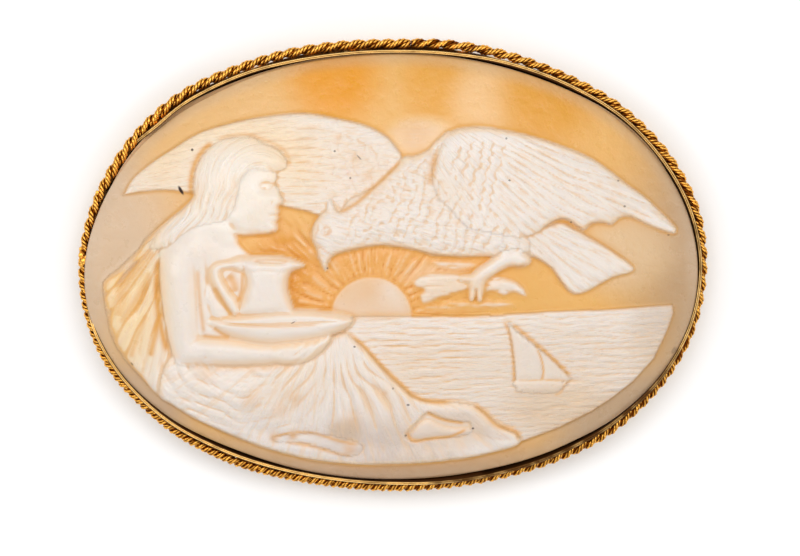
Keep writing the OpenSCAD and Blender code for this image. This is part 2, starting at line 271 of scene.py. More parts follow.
# %% The hand-made wander of the edge
ROPE_OUTSIDE = [
    1.38, 1.48, 1.28, 1.15, 1.27, 1.40, 1.52, 1.45, 1.20, 1.28, 1.42, 1.42, 1.39, 1.13, 1.03, 1.17,
    1.46, 1.53, 1.49, 1.25, 1.46, 1.55, 1.32, 1.16, 1.15, 1.18, 1.23, 1.29, 1.28, 1.03, 1.10, 1.25]
LIP_PLACE = [
    0.72, 0.55, 0.28, 0.16, 0.27, 0.38, 0.34, 0.12, 0.00, 0.00, 0.12, 0.30, 0.16, -0.11, -0.10, 0.20,
    0.75, 1.02, 0.80, 0.55, 0.55, 0.53, 0.42, 0.34, 0.36, 0.50, 0.60, 0.58, 0.42, 0.28, 0.45, 0.66]
SHELL_EDGE = [
    0.50, 0.30, 0.05, -0.20, -0.10, -0.03, -0.10, -0.15, -0.18, -0.21, -0.16, -0.20, -0.39, -0.38,
    -0.10, 0.31, 0.85, 1.03, 0.68, 0.32, 0.19, 0.08, 0.10, 0.07, 0.02, -0.03, 0.05, 0.12, 0.04,
    0.08, 0.30, 0.52]


def by_table(table, way):
    """The smooth value of a table at shares of the way round."""
    places = smooth_line(np.stack([np.arange(len(table)), table], 1), closed=True, steps=6)
    values = places[:, 1]
    return np.interp(way % 1, np.arange(len(values) + 1) / len(values), np.append(values, values[0]))


print(f"the lip lies {min(LIP_PLACE)} to {max(LIP_PLACE)} mm outside the shell's edge")

# %% The sheet that the relief is drawn on
# From the camera, a place on the dome seems shifted down the picture, because it stands above the rim.
# So the forms are placed as if they all stood MEAN_RELIEF above the dome.
EDGE_Z = 3.7
DOME_RISE = 5.0
MEAN_RELIEF = 0.8
COLUMNS = 368
ROWS = 242


def place_in_oval(u, v):
    """Where a place of a square, from -1 to 1 both ways, lies in the oval."""
    x = u * np.sqrt(1 - v * v / 2)
    y = v * np.sqrt(1 - u * u / 2)
    share = np.hypot(x, y)
    angle = np.arctan2(half_width * y, half_length * x)
    reach = oval_reach(angle) * share
    return reach * np.cos(angle), reach * np.sin(angle), share, angle


sheet_u, sheet_v = np.meshgrid(np.linspace(-1, 1, COLUMNS + 1), np.linspace(-1, 1, ROWS + 1))
even_x, even_y, sheet_share, sheet_angle = place_in_oval(sheet_u, sheet_v)
dome = EDGE_Z + DOME_RISE * (1 - (even_x / half_length) ** 2 - (even_y / half_width) ** 2)
edge_x = oval_reach(sheet_angle) * np.cos(sheet_angle)
edge_y = oval_reach(sheet_angle) * np.sin(sheet_angle)
edge_shift = by_table(SHELL_EDGE, round_rim(edge_x, edge_y)[0])
edge_shift -= looks_outside(edge_x, edge_y, EDGE_Z, np.cos(sheet_angle), np.sin(sheet_angle))
near_edge = smooth_step((sheet_share - 0.8) / 0.2)
place_x = even_x + edge_shift * near_edge * np.cos(sheet_angle)
place_y = even_y + edge_shift * near_edge * np.sin(sheet_angle)
# Where the shell reaches out to the rope its edge is a little higher.
rim_lift = 0.3 * smooth_step(edge_shift / 0.5) * near_edge
sheet_x, sheet_y = in_picture(place_x, place_y, dome + MEAN_RELIEF)
relief = np.zeros(sheet_x.shape)
amber_lines = np.zeros(sheet_x.shape)
grain_along = np.zeros(sheet_x.shape)
grain_across = np.zeros(sheet_x.shape)
print(f"{relief.size} places on the sheet, {2 * half_length / COLUMNS:.3f} mm apart")

# %% Ways to lay, press and draw on the sheet
# A form starts at EDGE_SHARE of its rim and rises by ROUNDNESS in proportion to its roundness, and by
# the rest with its square. The groove round it is dug to a share of its cut and reaches so far. The
# last number softens the line where a form meets what is behind it.
EDGE_SHARE = 0.8
ROUNDNESS = 0.45
GROOVE_SHARE = 0.6
GROOVE_REACH = 0.35
SOFT_MEETING = 0.02


def box_round(line, margin):
    """Which places of the sheet lie in a box round a line."""
    low, high = line.min(0) - margin, line.max(0) + margin
    return (sheet_x > low[0]) & (sheet_x < high[0]) & (sheet_y > low[1]) & (sheet_y < high[1])


def lay(
    outline, top, swell=1.5, rim=0.5, edge=0.14, cut=0.12, smooth=True, form=None, fade=None, grain=None,
    over=0.12,
):
    """Lays a form on the relief. top is its height, swell the width over which it rounds up from a
    share of rim times top, edge the half width of its slope and cut the depth of the groove round it. form
    adds to the height at each place from x, y and the depth inside the outline. fade is two places:
    the form grows out of what is behind it on the way from the first to the second. grain says how far
    along and across its fine cuts each place is, and a form without one is smooth. over is how far a
    form may dip below what is behind it, since a carver wouldn't dig a trench round a form."""
    line = smooth_line(outline, closed=True) if smooth else np.array(outline, float)
    window = box_round(line, 1.5)
    x, y = sheet_x[window], sheet_y[window]
    depth = depth_inside(x, y, line)
    round_up = np.sqrt(1 - (1 - np.clip(depth / swell, 0, 1)) ** 2)
    start = EDGE_SHARE * rim
    height = top * (start + (1 - start) * round_up * (ROUNDNESS + (1 - ROUNDNESS) * round_up))
    if form is not None:
        height = height + form(x, y, np.maximum(depth, 0))
    if over is not None:
        spare = height - relief[window] + over
        height = relief[window] - over + 0.5 * (spare + np.sqrt(spare**2 + SOFT_MEETING))
    present = 1.0
    if fade is not None:
        (ax, ay), (bx, by) = fade
        run_x, run_y = bx - ax, by - ay
        present = smooth_step(((x - ax) * run_x + (y - ay) * run_y) / (run_x**2 + run_y**2))
    cover = smooth_step((depth + edge) / (2 * edge)) * present
    uneven_cut = cut * (0.65 + 0.5 * noise(x, y, 2.2, 40)) * present
    dug = GROOVE_SHARE * uneven_cut * np.exp(-((depth / GROOVE_REACH) ** 2)) * (depth < 0)
    behind = relief[window] - dug
    relief[window] = behind * (1 - cover) + height * cover
    fine_cuts = grain(x, y) if grain else (0.0, 0.0)
    for sheet, value in zip((grain_along, grain_across), fine_cuts):
        sheet[window] = np.where(cover > 0.5, value, sheet[window])


def straight_grain(turn, shortness=1.0):
    """Fine cuts that all run along turn degrees."""
    def grain(x, y):
        along, across = turned(x, y, turn)
        return along * shortness, across
    return grain


def fan_grain(middle_x, middle_y, true_at, shortness=1.0):
    """Fine cuts that spread from a place, and have their true width at a distance from it."""
    return lambda x, y: (
        np.hypot(x - middle_x, y - middle_y) * shortness, np.arctan2(y - middle_y, x - middle_x) * true_at)


def press(path, width, depth, ends=0.15):
    """Presses a rounded groove along a path, or with a depth below 0 raises a ridge. It thins out
    toward its ends."""
    line = smooth_line(path)
    window = box_round(line, 3 * width)
    away, share, _ = along_path(sheet_x[window], sheet_y[window], line)
    fade = smooth_step(share / ends) * smooth_step((1 - share) / ends) if ends else 1
    relief[window] -= depth * fade * np.exp(-((away / width) ** 2))


def dab(x, y, radius, height, stretch=1.0):
    """Raises a soft mound, or with a height below 0 presses a hollow. stretch widens it."""
    window = box_round(np.array([(x, y)], float), 3 * radius * max(1, stretch))
    across, up = (sheet_x[window] - x) / stretch, sheet_y[window] - y
    relief[window] += height * np.exp(-(across * across + up * up) / radius**2)


def draw(sheet, path, width, strength, ends=0.15):
    """Draws a soft line on a colour sheet. A path of one place gives a round spot."""
    line = smooth_line(path) if len(path) > 1 else np.array(path * 2, float)
    window = box_round(line, 3 * width)
    away, share, _ = along_path(sheet_x[window], sheet_y[window], line)
    fade = smooth_step(share / ends) * smooth_step((1 - share) / ends) if len(path) > 1 else 1
    sheet[window] = np.maximum(sheet[window], strength * fade * np.exp(-((away / width) ** 2)))


def say_relief(what):
    """Prints how low and high the relief is so far."""
    print(f"{what}: relief from {relief.min():.2f} to {relief.max():.2f} mm")


say_relief("plain sheet")

# %% [markdown]
# The ground is the thin amber layer of the shell, and the lowest forms are barely raised from it: the
# sun's rays are scratched in the ground, and the clouds and the far wing are in low relief, so that
# they look further off than the figure. A feathered wing is drawn as shares of the way between its two
# edges, because its long feathers run together toward the tip.

# %% The ground, the sun's rays and the clouds
relief += 0.03 * noise(sheet_x, sheet_y, 3.0, 1)
SUN_X, SUN_Y, SUN_R = -2.1, -5.05, 3.95
from_sun = np.hypot(sheet_x - SUN_X, sheet_y - SUN_Y)
round_sun = np.degrees(np.arctan2(sheet_y - SUN_Y, sheet_x - SUN_X))
ray_bend = 0.5 * noise(sheet_x, sheet_y, 2.5, 2)
broad_rays = crest(round_sun / 9.5 + ray_bend, 0.6)
thin_rays = np.exp(-((noise(from_sun / 3.0, round_sun / 3.4, 1.0, 61) / 0.2) ** 2))
thin_rays += 0.7 * np.exp(-((noise(from_sun / 2.0, round_sun / 1.8, 1.0, 62) / 0.25) ** 2))
far_rays = 0.8 * np.exp(-((noise(from_sun / 2.5, round_sun, 1.0, 79) / 0.22) ** 2))
thin_rays += far_rays * smooth_step((from_sun - 6) / 3)
ray_fade = smooth_step((14.5 - from_sun) / 5) * smooth_step((from_sun - SUN_R + 0.3) / 0.8)
relief += (0.13 * broad_rays - 0.13 * thin_rays - 0.01) * ray_fade


def strokes(x, y, turn, length, width, seed):
    """Short cuts side by side that run along turn degrees: 0 in a cut and 1 between cuts."""
    along, across = turned(x, y, turn)
    along, across = along / length, across / width
    wide = 1 - 2 * np.abs(noise(along, across, 1.0, seed))
    fine = 1 - 2 * np.abs(noise(along * 1.3, across * 2.1, 1.0, seed + 1))
    return 0.5 + 0.35 * wide + 0.15 * fine


def cloud_streaks(pitch, lift, seed):
    """Wavy streaks that lie along a cloud."""
    def streaks(x, y, depth):
        wave = noise(x / 2.5, y, 1.0, seed) + 0.5 * noise(x / 0.9, y, 0.9, seed + 70)
        bands = 0.6 * crest(y / pitch + 0.5 * wave, 0.8)
        fine = 0.55 * strokes(x, y + 0.3 * wave, 4, 1.8, 0.24, seed + 71)
        return lift * (bands + fine - 0.6) * smooth_step(depth / 0.4)
    return streaks


HIGH_CLOUD = [
    (-1, 12.6), (-0.4, 13.5), (1.4, 14.3), (3.4, 14.2), (4.9, 13.4), (4.2, 11.6), (2.6, 10.2), (1, 9.9)]
lay(HIGH_CLOUD, 0.1, swell=2.2, rim=0.1, edge=0.9, cut=0, form=cloud_streaks(0.5, 0.06, 3))
for low_cloud, top in (
    ([(1.9, -1.6), (2.9, -0.9), (5.0, -0.7), (7.6, -0.9), (7.9, -2.1), (6.2, -2.8), (4.4, -3.3), (2.9, -3.7),
      (2.5, -2.9), (2.9, -2.4), (2.1, -2.1)], 0.42),
    ([(7.4, -1.4), (9.3, -1.0), (11.2, -1.3), (12.3, -2.0), (12.9, -3.1), (11.6, -2.7), (10.6, -3.0),
      (9.4, -2.6), (8, -3.1)], 0.44),
    ([(2.6, -4.1), (5.2, -3.5), (8, -3.3), (10.5, -3.5), (12, -3.9), (8.5, -4.25), (5, -4.4)], 0.16),
    ([(3.6, 0.3), (6, 0.4), (8.6, 0.1), (7.6, -0.5), (5.4, -0.6)], 0.14),
):
    lay(low_cloud, top, swell=0.9, rim=0.3, edge=0.28, cut=0.02, form=cloud_streaks(0.5, 0.3, 4))


say_relief("ground, rays and clouds")

# %% [markdown]
# A feather is a long ridge with fine barbs beside it. The small feathers that cover the body and the
# root of a wing lie in ruffled rows, each with a lifted end, so they are wavy steps with strokes on them.

# %% Feathers
def between_edges(x, y, top_edge, low_edge):
    """The share of the way from a wing's lower edge to its top edge at each place."""
    top_line, low_line = smooth_line(top_edge), smooth_line(low_edge)
    top = np.interp(x, *top_line[np.argsort(top_line[:, 0])].T)
    low = np.interp(x, *low_line[np.argsort(low_line[:, 0])].T)
    return (y - low) / np.maximum(top - low, 0.3)


def small_feathers(x, y, length, width, turn, seed):
    """Ruffled rows of small feathers: wavy steps across turn degrees, with strokes along it."""
    stir = 0.55 * noise(x, y, 1.6 * length, seed) + 0.3 * noise(x, y, 0.7 * width, seed + 1)
    along = turned(x, y, turn)[0] / length + stir
    step = along - np.floor(along)
    lifted_end = smooth_step(step / 0.8) * (1 - smooth_step((step - 0.86) / 0.14))
    return 0.6 * lifted_end + 0.4 * strokes(x, y, turn, 1.3 * length, 0.45 * width, seed + 2)


FAR_TOP = [
    (-25.7, 6.9), (-24.9, 8.3), (-23, 9.9), (-21, 11.2), (-19.1, 12.4), (-17, 13.2), (-13, 14.1),
    (-8.6, 14.5), (-5.4, 14), (-2.6, 13.3), (-0.7, 12.3), (0.45, 11), (0.8, 10.2)]
FAR_LOW = [
    (-25.6, 6.8), (-22, 7.2), (-18, 6.7), (-12, 5.9), (-9, 5.3), (-5.5, 4.6), (-3, 6), (-0.6, 7.8),
    (0.9, 9.2)]
# The long feathers run between the top edge and this line, which the eagle's head and neck hide.
FAR_GUIDE = [(-25.6, 6.8), (-22, 6.9), (-16, 6.2), (-8, 5.2), (-3, 5.4), (0.7, 6.4)]


def far_feathers(x, y, depth):
    """Long feathers, a smooth leading edge and mottled small feathers by the shoulder."""
    share = between_edges(x, y, FAR_TOP, FAR_GUIDE)
    sway = 0.3 * noise(x / 3, y, 1.2, 5)
    barbs = strokes(x, y, 6, 2.4, 0.3, 50)
    long_ones = crest(share * 12 + sway, 0.6) * 0.16 + 0.2 * barbs
    small_ones = 0.2 * small_feathers(x, y, 1.0, 0.9, 200, 6)
    leading = smooth_step((1.6 - depth) / 0.6) * smooth_step((y - 9.5 + 0.5 * (x < -12)) / 1.0)
    near_shoulder = smooth_step((x + 7.5) / 2.5)
    texture = long_ones * (1 - near_shoulder) + (small_ones + 0.04) * near_shoulder
    return texture * (1 - 0.75 * leading) + 0.22 * leading - 0.16


FAR_WING = FAR_TOP + FAR_LOW[::-1]
lay(FAR_WING, 0.55, swell=2.0, rim=0.7, form=far_feathers, cut=0.03, edge=0.2, grain=straight_grain(6))
press([(-13, 12.9), (-9, 13.25), (-5.2, 12.7), (-2.5, 11.4), (-1, 10)], 0.16, 0.1)
say_relief("far wing")

# %% [markdown]
# The sun is half sunk behind a straight horizon. The sea is many low ripples, which the carver cuts with
# strokes of a round graver, so their furrows are smooth and their crests wander.

# %% The sun, the sea and the boat
SUN = [
    (SUN_X + SUN_R * np.cos(a), SUN_Y + SUN_R * np.sin(a)) for a in np.radians(np.arange(-20, 201, 10))
]
lay(SUN, 0.25, swell=1.2, rim=0.85, edge=0.12, cut=0.18, smooth=False)
SEA = [
    (-4.6, -4.95), (3, -4.9), (10, -4.85), (15, -4.45), (20, -4.3), (26.8, -3.8), (26.9, -4.6),
    (26.2, -6.5), (25, -9), (23, -11.2), (21, -12.8), (19, -14.1), (16, -15.6), (12, -17.1),
    (4, -18.7), (-3, -12), (-4.6, -7)]


def ripples(x, y, depth):
    """Wandering ripples, finer and flatter toward the horizon."""
    wander = 0.5 * noise(x / 3.2, y / 1.1, 1.0, 7) + 0.2 * noise(x / 1.0, y / 0.8, 1.0, 8)
    lengths = 0.6 + 0.4 * noise(x / 2.8, y / 0.6, 1.0, 9)
    ridges = (crest((y - 0.012 * x) / 0.56 + wander, 0.9) - 0.5) * lengths
    ridges = ridges + 0.5 * (strokes(x, y, 3, 2.6, 0.3, 60) - 0.5)
    shore = smooth_step((-16.2 - y + 0.12 * (x - 12)) / 1.5)
    return (0.26 * ridges - 0.04) * smooth_step(depth / 0.3) * (1 - 0.5 * shore)


lay(SEA, 0.4, swell=1.2, rim=0.6, edge=0.16, cut=0.08, smooth=False, form=ripples, grain=straight_grain(2))
SAIL = [(11, -5.5), (11.5, -6.1), (13, -7.25), (15, -8.85), (17.1, -10.9), (16.8, -11.15), (11.75, -11.2),
        (11.7, -10), (11.4, -8)]
lay(SAIL, 0.55, swell=1.2, rim=0.8, edge=0.1, cut=0.3, smooth=False)
press([(13.7, -7.9), (14.2, -9), (14.4, -10.1), (14.25, -11)], 0.13, 0.14, ends=0)
BOAT = [(11.75, -11.15), (16.5, -11.2), (16.1, -11.9), (15.2, -12.3), (12.2, -12.2), (11.8, -11.8)]
lay(BOAT, 0.66, swell=0.6, rim=0.7, edge=0.1, cut=0.16)
press([(10.3, -5.1), (11, -5.7)], 0.1, -0.12, ends=0)
say_relief("sun, sea and boat")

# %% [markdown]
# The eagle stands in higher relief, the near wing in front of the body. It bends its neck down toward
# the bowl. Tail and wing are laid first where they are behind, then the body, then what is in front.

# %% The eagle
TAIL = [
    (11.6, 3.2), (14.4, 3.6), (16.1, 4), (17.5, 3.4), (18.9, 2.6), (21.2, 1.2), (22.9, -0.1),
    (22.8, -0.7), (21, -1.2), (18.6, -2.5), (17.6, -2.75), (16.9, -2.5), (16.1, -1.6), (15.2, -0.3),
    (13.9, 0.6), (12.4, 1.3)]


def tail_feathers(x, y, depth):
    """Straight feathers that spread from the root of the tail."""
    angle = np.degrees(np.arctan2(y - 6.8, x - 8))
    barbs = strokes(x, y, -38, 2.0, 0.28, 52)
    return 0.18 * crest(angle / 5.3 + 0.2 * noise(x, y, 2.0, 10), 0.7) + 0.12 * barbs - 0.16


lay(TAIL, 0.9, swell=1.6, rim=0.6, edge=0.18, form=tail_feathers, cut=0.16, grain=fan_grain(8, 6.8, 12))
BIRD = [
    (-6.1, 6.3), (-6.45, 5.3), (-7, 4.7), (-7.5, 4.1), (-7.75, 3.3), (-7.7, 2.4), (-7.35, 1.6),
    (-7.1, 0.6), (-6.5, -0.5), (-6.3, 0.2), (-5.8, 0.9), (-5, 1.2), (-3.8, 1.5), (-1.5, 1.9), (0.5, 1.75),
    (2.4, 1.4), (4, 0.95), (7, 0.8), (9, 0.85), (11, 0.5), (12.8, 0.9), (13, 2.4), (11, 5), (9, 8),
    (6, 12.6), (4.3, 12), (3.4, 11.05), (2.1, 10.45), (1.1, 10.35), (0.4, 9.5), (-1, 8.2), (-2, 7.35),
    (-3, 6.8), (-4.1, 6.3), (-4.7, 5.6), (-5.1, 5.1), (-5.6, 5.4)]


def body_feathers(x, y, depth):
    """Small ruffled feathers that lie from the head back along the neck and the belly."""
    ruffled = small_feathers(x, y, 1.1, 0.8, -22, 11)
    fine = strokes(x, y, -12, 1.2, 0.28, 12)
    on_body = smooth_step((x + 6) / 3)
    return (0.34 * ruffled + 0.22 * fine - 0.25) * on_body * smooth_step(depth / 0.6)


lay(BIRD, 1.6, swell=3.4, rim=0.42, form=body_feathers, cut=0.16, grain=straight_grain(-16, 1.3))
# The cheek, the hollow of the eye and the eye, then the brow, the line of the beak and the neck.
dab(-5.9, 3.0, 1.0, 0.12)
dab(-6.35, 3.3, 0.32, -0.2)
dab(-6.3, 3.3, 0.16, 0.18)
press([(-7.25, 4.1), (-6.6, 4.15), (-5.9, 3.9)], 0.16, -0.1)
press([(-7.3, 1.9), (-6.6, 1.5), (-6.1, 1.0)], 0.12, 0.09)
press([(-4.9, 4.7), (-3.2, 5.6), (-1.6, 6.6), (0, 7.9)], 0.2, -0.07)
say_relief("tail and body")

# %% The near wing and the legs
NEAR_TOP = [
    (3.7, 8.6), (4.3, 10.6), (4.9, 12), (6, 12.95), (8.5, 13.2), (10, 13), (12, 12.6), (13.9, 12.1),
    (16, 11.4), (18.3, 10.5), (20, 9.55), (21.9, 8.1), (24, 6.6), (25.6, 5.1), (26.9, 3.8), (27.1, 3.3)]
NEAR_LOW = [
    (4.6, 5.2), (6, 3.8), (9, 3.2), (12.1, 2.7), (13.7, 3.1), (14.7, 3.8), (15.9, 4.4), (16.8, 4.3),
    (17.7, 3.7), (18.3, 3.4), (19.1, 4.05), (20.2, 4.1), (20.9, 3.9), (21.7, 4.5), (22.7, 4.65),
    (24.6, 3.8), (26.7, 3.05)]
WRIST = [(3.9, 6.8), (4.35, 8.6), (4.6, 10.2), (5.2, 11.6), (6.6, 12.3), (9, 12.5), (12, 11.9)]


def near_feathers(x, y, depth):
    """A smooth arm, columns of small feathers beside it, and long feathers that fan out to the tip."""
    angle = np.degrees(np.arctan2(18 - y, x + 1)) + 2.2 * np.maximum(0, np.hypot(x + 1, y - 18) - 20) / 8
    sway = 0.22 * noise(x / 2.5, y, 1.4, 13)
    barbs = strokes(x, y, -28, 2.0, 0.26, 54)
    long_ones = 0.22 * crest(angle / 2.3 + sway, 0.6) + 0.24 * barbs
    scallop = 0.13 * np.sin(6.5 * y + 4 * noise(x / 2, y / 2, 1.0, 75))
    columns = crest((x - 0.25 * (y - 8) + scallop + 0.3 * noise(x, y, 1.2, 14)) / 1.1, 0.8)
    rows = 0.26 * columns + 0.18 * strokes(x, y, 70, 0.7, 0.28, 55)
    past_rows = smooth_step((x - 9.4 - 0.25 * (y - 8)) / 1.4)
    away, _, _ = along_path(x, y, smooth_line(WRIST))
    arm = np.exp(-((away / 0.66) ** 4))
    texture = rows * (1 - past_rows) + long_ones * past_rows
    tip_drop = -0.35 * smooth_step((x - 17) / 9)
    return texture * (1 - arm) + 0.4 * arm - 0.25 + tip_drop


NEAR_WING = NEAR_TOP + NEAR_LOW[::-1]
lay(
    NEAR_WING, 1.45, swell=2.2, rim=0.6, edge=0.22, form=near_feathers, cut=0.0,
    fade=((5.0, 3.4), (7.4, 5.8)), grain=fan_grain(-1, 18, 17))
press([(4.5, 12.3), (4.1, 10.6), (3.85, 9), (3.5, 7.7)], 0.24, 0.26, ends=0.25)
LEG = [
    (9.6, 1.7), (11.8, 1.8), (12.6, 1.3), (13.2, 0.6), (13, 0.1), (12.1, -0.2), (11.2, -0.1), (9.7, -0.9),
    (8.8, -1.6), (8.6, -2.6), (8.5, -3.4), (8.1, -3.4), (7.95, -2.4), (7.75, -3.3), (7.3, -3.3),
    (7.3, -2.2), (7.1, -1.6), (6.4, -1.5), (6.5, -1.05), (7.3, -0.9), (8.1, -0.3), (8.9, 0.25),
    (9.6, 0.75), (10.1, 1.2)]
lay(LEG, 1.3, swell=0.7, rim=0.4, edge=0.14, cut=0.2, fade=((10.6, 2.2), (10.9, 0.7)))
dab(12.4, 0.6, 0.8, 0.2)
press([(8.4, -1.5), (7.9, -1.9), (7.7, -2.6)], 0.14, 0.14)
press([(10.2, -1.5), (11.4, -1.9), (12.6, -2.7)], 0.25, -0.25)
press([(9.2, -2.2), (10.4, -1.9), (11.6, -2.3)], 0.22, -0.2)
say_relief("eagle")

# %% [markdown]
# The cup bearer is the boldest relief. The loose hair and the veil fall behind the back in low strands,
# then come the body, the head, the skirt and the arm, and last the ewer and the bowl in front. The
# head's face is drawn on the proportions that every drawing book gives: the eye halfway down the head,
# and the brow, the base of the nose and the chin a third of the face apart.

# %% The fall of hair and veil
VEIL = [
    (-19, 5.6), (-21.3, 4.6), (-23.6, 2.7), (-24.6, 1.4), (-26.2, -0.2), (-27.75, -1.6), (-27.75, -3.6),
    (-27, -6.8), (-25.8, -9), (-24.1, -10.9), (-22.4, -12.7), (-19.7, -14.3), (-17.1, -15.6),
    (-14, -16.6), (-12, -14), (-16, -10.5), (-20, -7), (-21, -2), (-19.5, 2)]


def veil_strands(x, y, depth):
    """Strands that spread from the shoulder toward the lower left."""
    angle = np.degrees(np.arctan2(y - 5.5, x + 19.5))
    far = np.hypot(x + 19.5, y - 5.5)
    bend = 0.22 * noise(x, y, 3.4, 15) + far * 0.02
    broad = crest(angle / 7.4 + bend, 0.8)
    fine = crest(angle / 3.1 + 1.6 * bend)
    thin = strokes(far, angle * 0.12, 0, 2.6, 0.24, 56)
    return (0.24 * broad + 0.1 * fine + 0.12 * thin - 0.28) * smooth_step(depth / 0.6)


lay(
    VEIL, 0.74, swell=2.2, rim=0.3, form=veil_strands, cut=0.0, edge=0.5,
    grain=fan_grain(-19.5, 5.5, 9, 0.45))
for strand in (
    [(-22.6, 0.6), (-22.5, -3.4), (-22.9, -8.2)],
    [(-23.2, -0.8), (-24.2, -3.6), (-25.6, -5.8)],
    [(-23.7, -6), (-24.2, -8.2), (-24, -9.8)],
    [(-24.2, 0.8), (-25.6, -1.0), (-26.9, -3)],
    [(-21.6, -6.5), (-21.5, -8.6), (-20.9, -10.2)],
):
    press(strand, 0.34, 0.26, ends=0.35)
say_relief("hair and veil")

# %% The body
TORSO = [
    (-18.4, 5.2), (-16.4, 4.2), (-15.2, 3.0), (-14.8, 2.1), (-13.9, 1.2), (-12.8, 0.5), (-12.4, -1.5),
    (-13, -4), (-14, -8), (-20.5, -8.2), (-21.8, -4), (-22.3, -0.4), (-22.4, 1.4), (-21.6, 3.1), (-20, 4.6)]


def shoulder_slope(x, y, depth):
    """The chest turns away below the neck."""
    return 0.25 * smooth_step((2.5 - np.hypot(x + 19.8, y - 1.2)) / 2.5) - 0.012 * (x + 20)


lay(TORSO, 1.2, swell=3.0, rim=0.4, form=shoulder_slope, cut=0.12, edge=0.2)
for fold in (
    [(-18.2, -0.6), (-17.2, -2.6), (-16.2, -4.4)],
    [(-17.6, 0.2), (-16.8, -1.2), (-15.2, -3.4)],
    [(-18, -3), (-17.4, -4.8), (-16.6, -6)],
    [(-18.1, 1.4), (-17.9, -1.2), (-18.2, -4.2)],
):
    press(fold, 0.3, 0.2, ends=0.35)
say_relief("body")

# %% The head
HEAD_HEIGHT = 9.2
CROWN_Y = 12.25
FOREHEAD_X = -11.25
# The drop from the crown and the reach in front of the forehead, as shares of the head's height.
PROFILE = [
    (0.16, -0.06), (0.25, -0.005), (0.35, 0.008), (0.42, 0.012), (0.48, -0.012), (0.54, 0.018),
    (0.61, 0.052), (0.665, 0.078), (0.69, 0.066), (0.71, 0.022), (0.735, 0.024), (0.765, 0.038),
    (0.79, 0.034), (0.805, 0.014), (0.825, 0.03), (0.85, 0.03), (0.88, 0.004), (0.92, 0.018), (0.955, 0.02),
    (0.985, -0.008), (1.0, -0.05), (1.01, -0.12), (1.02, -0.2)]


def on_head(drop, reach):
    """A place on the head, from its drop below the crown and its reach before the forehead."""
    return (FOREHEAD_X + reach * HEAD_HEIGHT, CROWN_Y - drop * HEAD_HEIGHT)


FACE = [on_head(*row) for row in PROFILE] + [
    on_head(1.03, -0.34), on_head(1.0, -0.44), on_head(0.9, -0.6), on_head(0.5, -0.6), on_head(0.2, -0.4)]
lay(FACE, 1.5, swell=2.4, rim=0.5, edge=0.12, cut=0.24, smooth=False)
NECK = [
    (-18.2, 6.4), (-16.2, 5.2), (-15.2, 3.9), (-15.1, 2.9), (-14.9, 2.3), (-16, 1.2), (-18.6, 1.6),
    (-20, 3.4)]
lay(NECK, 1.35, swell=2.0, rim=0.6, edge=0.5, cut=0, fade=((-17.8, 1.9), (-17.0, 3.9)))
say_relief("head and neck")

# %% The face


def press_face(path, width, depth, ends=0.15):
    """A groove, or with a depth below 0 a ridge, along places on the head."""
    press([on_head(*place) for place in path], width, depth, ends)


press_face([(0.88, -0.5), (0.97, -0.38), (1.0, -0.24), (1.02, -0.12)], 0.3, 0.16)
dab(*on_head(0.66, -0.16), 1.15, 0.2)
dab(*on_head(0.95, -0.03), 0.55, 0.12)
dab(*on_head(0.5, -0.1), 0.62, -0.26, stretch=1.3)
EYE = [on_head(0.508, -0.045), on_head(0.494, -0.085), on_head(0.505, -0.145), on_head(0.522, -0.09)]
lay(EYE, 1.62, swell=0.3, rim=0.75, edge=0.12, cut=0.06)
# The lids and the brow.
press_face([(0.512, -0.035), (0.484, -0.085), (0.502, -0.165)], 0.11, -0.11)
press_face([(0.522, -0.04), (0.532, -0.09), (0.515, -0.15)], 0.1, -0.05)
press_face([(0.455, -0.02), (0.428, -0.09), (0.45, -0.19)], 0.2, -0.13)
# The bridge of the nose and its wing.
press_face([(0.5, 0.0), (0.58, 0.02), (0.66, 0.045)], 0.22, -0.12)
dab(*on_head(0.69, 0.008), 0.3, 0.14)
press_face([(0.705, -0.03), (0.672, -0.04), (0.65, -0.012)], 0.1, 0.08)
# The line between the lips, the two lips, and the hollow above the chin.
press_face([(0.81, -0.075), (0.803, -0.03), (0.805, 0.02)], 0.11, 0.16, ends=0.2)
press_face([(0.79, -0.06), (0.776, -0.01), (0.775, 0.028)], 0.14, -0.1)
press_face([(0.822, -0.055), (0.838, -0.01), (0.835, 0.022)], 0.15, -0.1)
press_face([(0.87, -0.05), (0.878, -0.01)], 0.2, 0.07)
say_relief("face")

# %% The hair
HAIR = [
    (-14, 12.3), (-15.3, 12.2), (-16.8, 11.8), (-18.1, 10.7), (-18.9, 9.2), (-19.15, 7.6), (-19.1, 6.6),
    (-20.1, 5.4), (-21.5, 4.2), (-22.7, 2.9), (-23.2, 1.6), (-21.6, 1.8), (-19.5, 3.4), (-17.6, 4),
    (-16.3, 4.2), (-15.4, 5.2), (-14.9, 6.7), (-14.6, 8), (-13.6, 9.2), (-12.4, 9.1), (-11.2, 8.95),
    (-10.4, 9.25), (-10.2, 9.8), (-10.4, 10.4), (-11, 11), (-11.8, 11.4), (-12.6, 11.7), (-13.2, 12.1)]


def hair_flow(x, y):
    """How far across the strands a place is, as they curve over the skull and fall to the shoulder."""
    over_skull = np.hypot(x + 12.6, (y - 7.4) * 0.95)
    falling = -(x + 12.6) + 0.5 * (y - 7) + 0.25 * np.sin(y * 1.6)
    blend = smooth_step((8.6 - y) / 3.2)
    return over_skull * (1 - blend) + falling * blend + 0.3 * noise(x, y, 2.6, 16)


def hair_strands(x, y, depth):
    """Broad and fine strands, deeper on the shoulder."""
    flow = hair_flow(x, y)
    below = smooth_step((9 - y) / 3)
    return (0.05 + 0.11 * below) * crest(flow / 0.78, 0.9) + 0.05 * crest(flow / 0.3) - 0.1


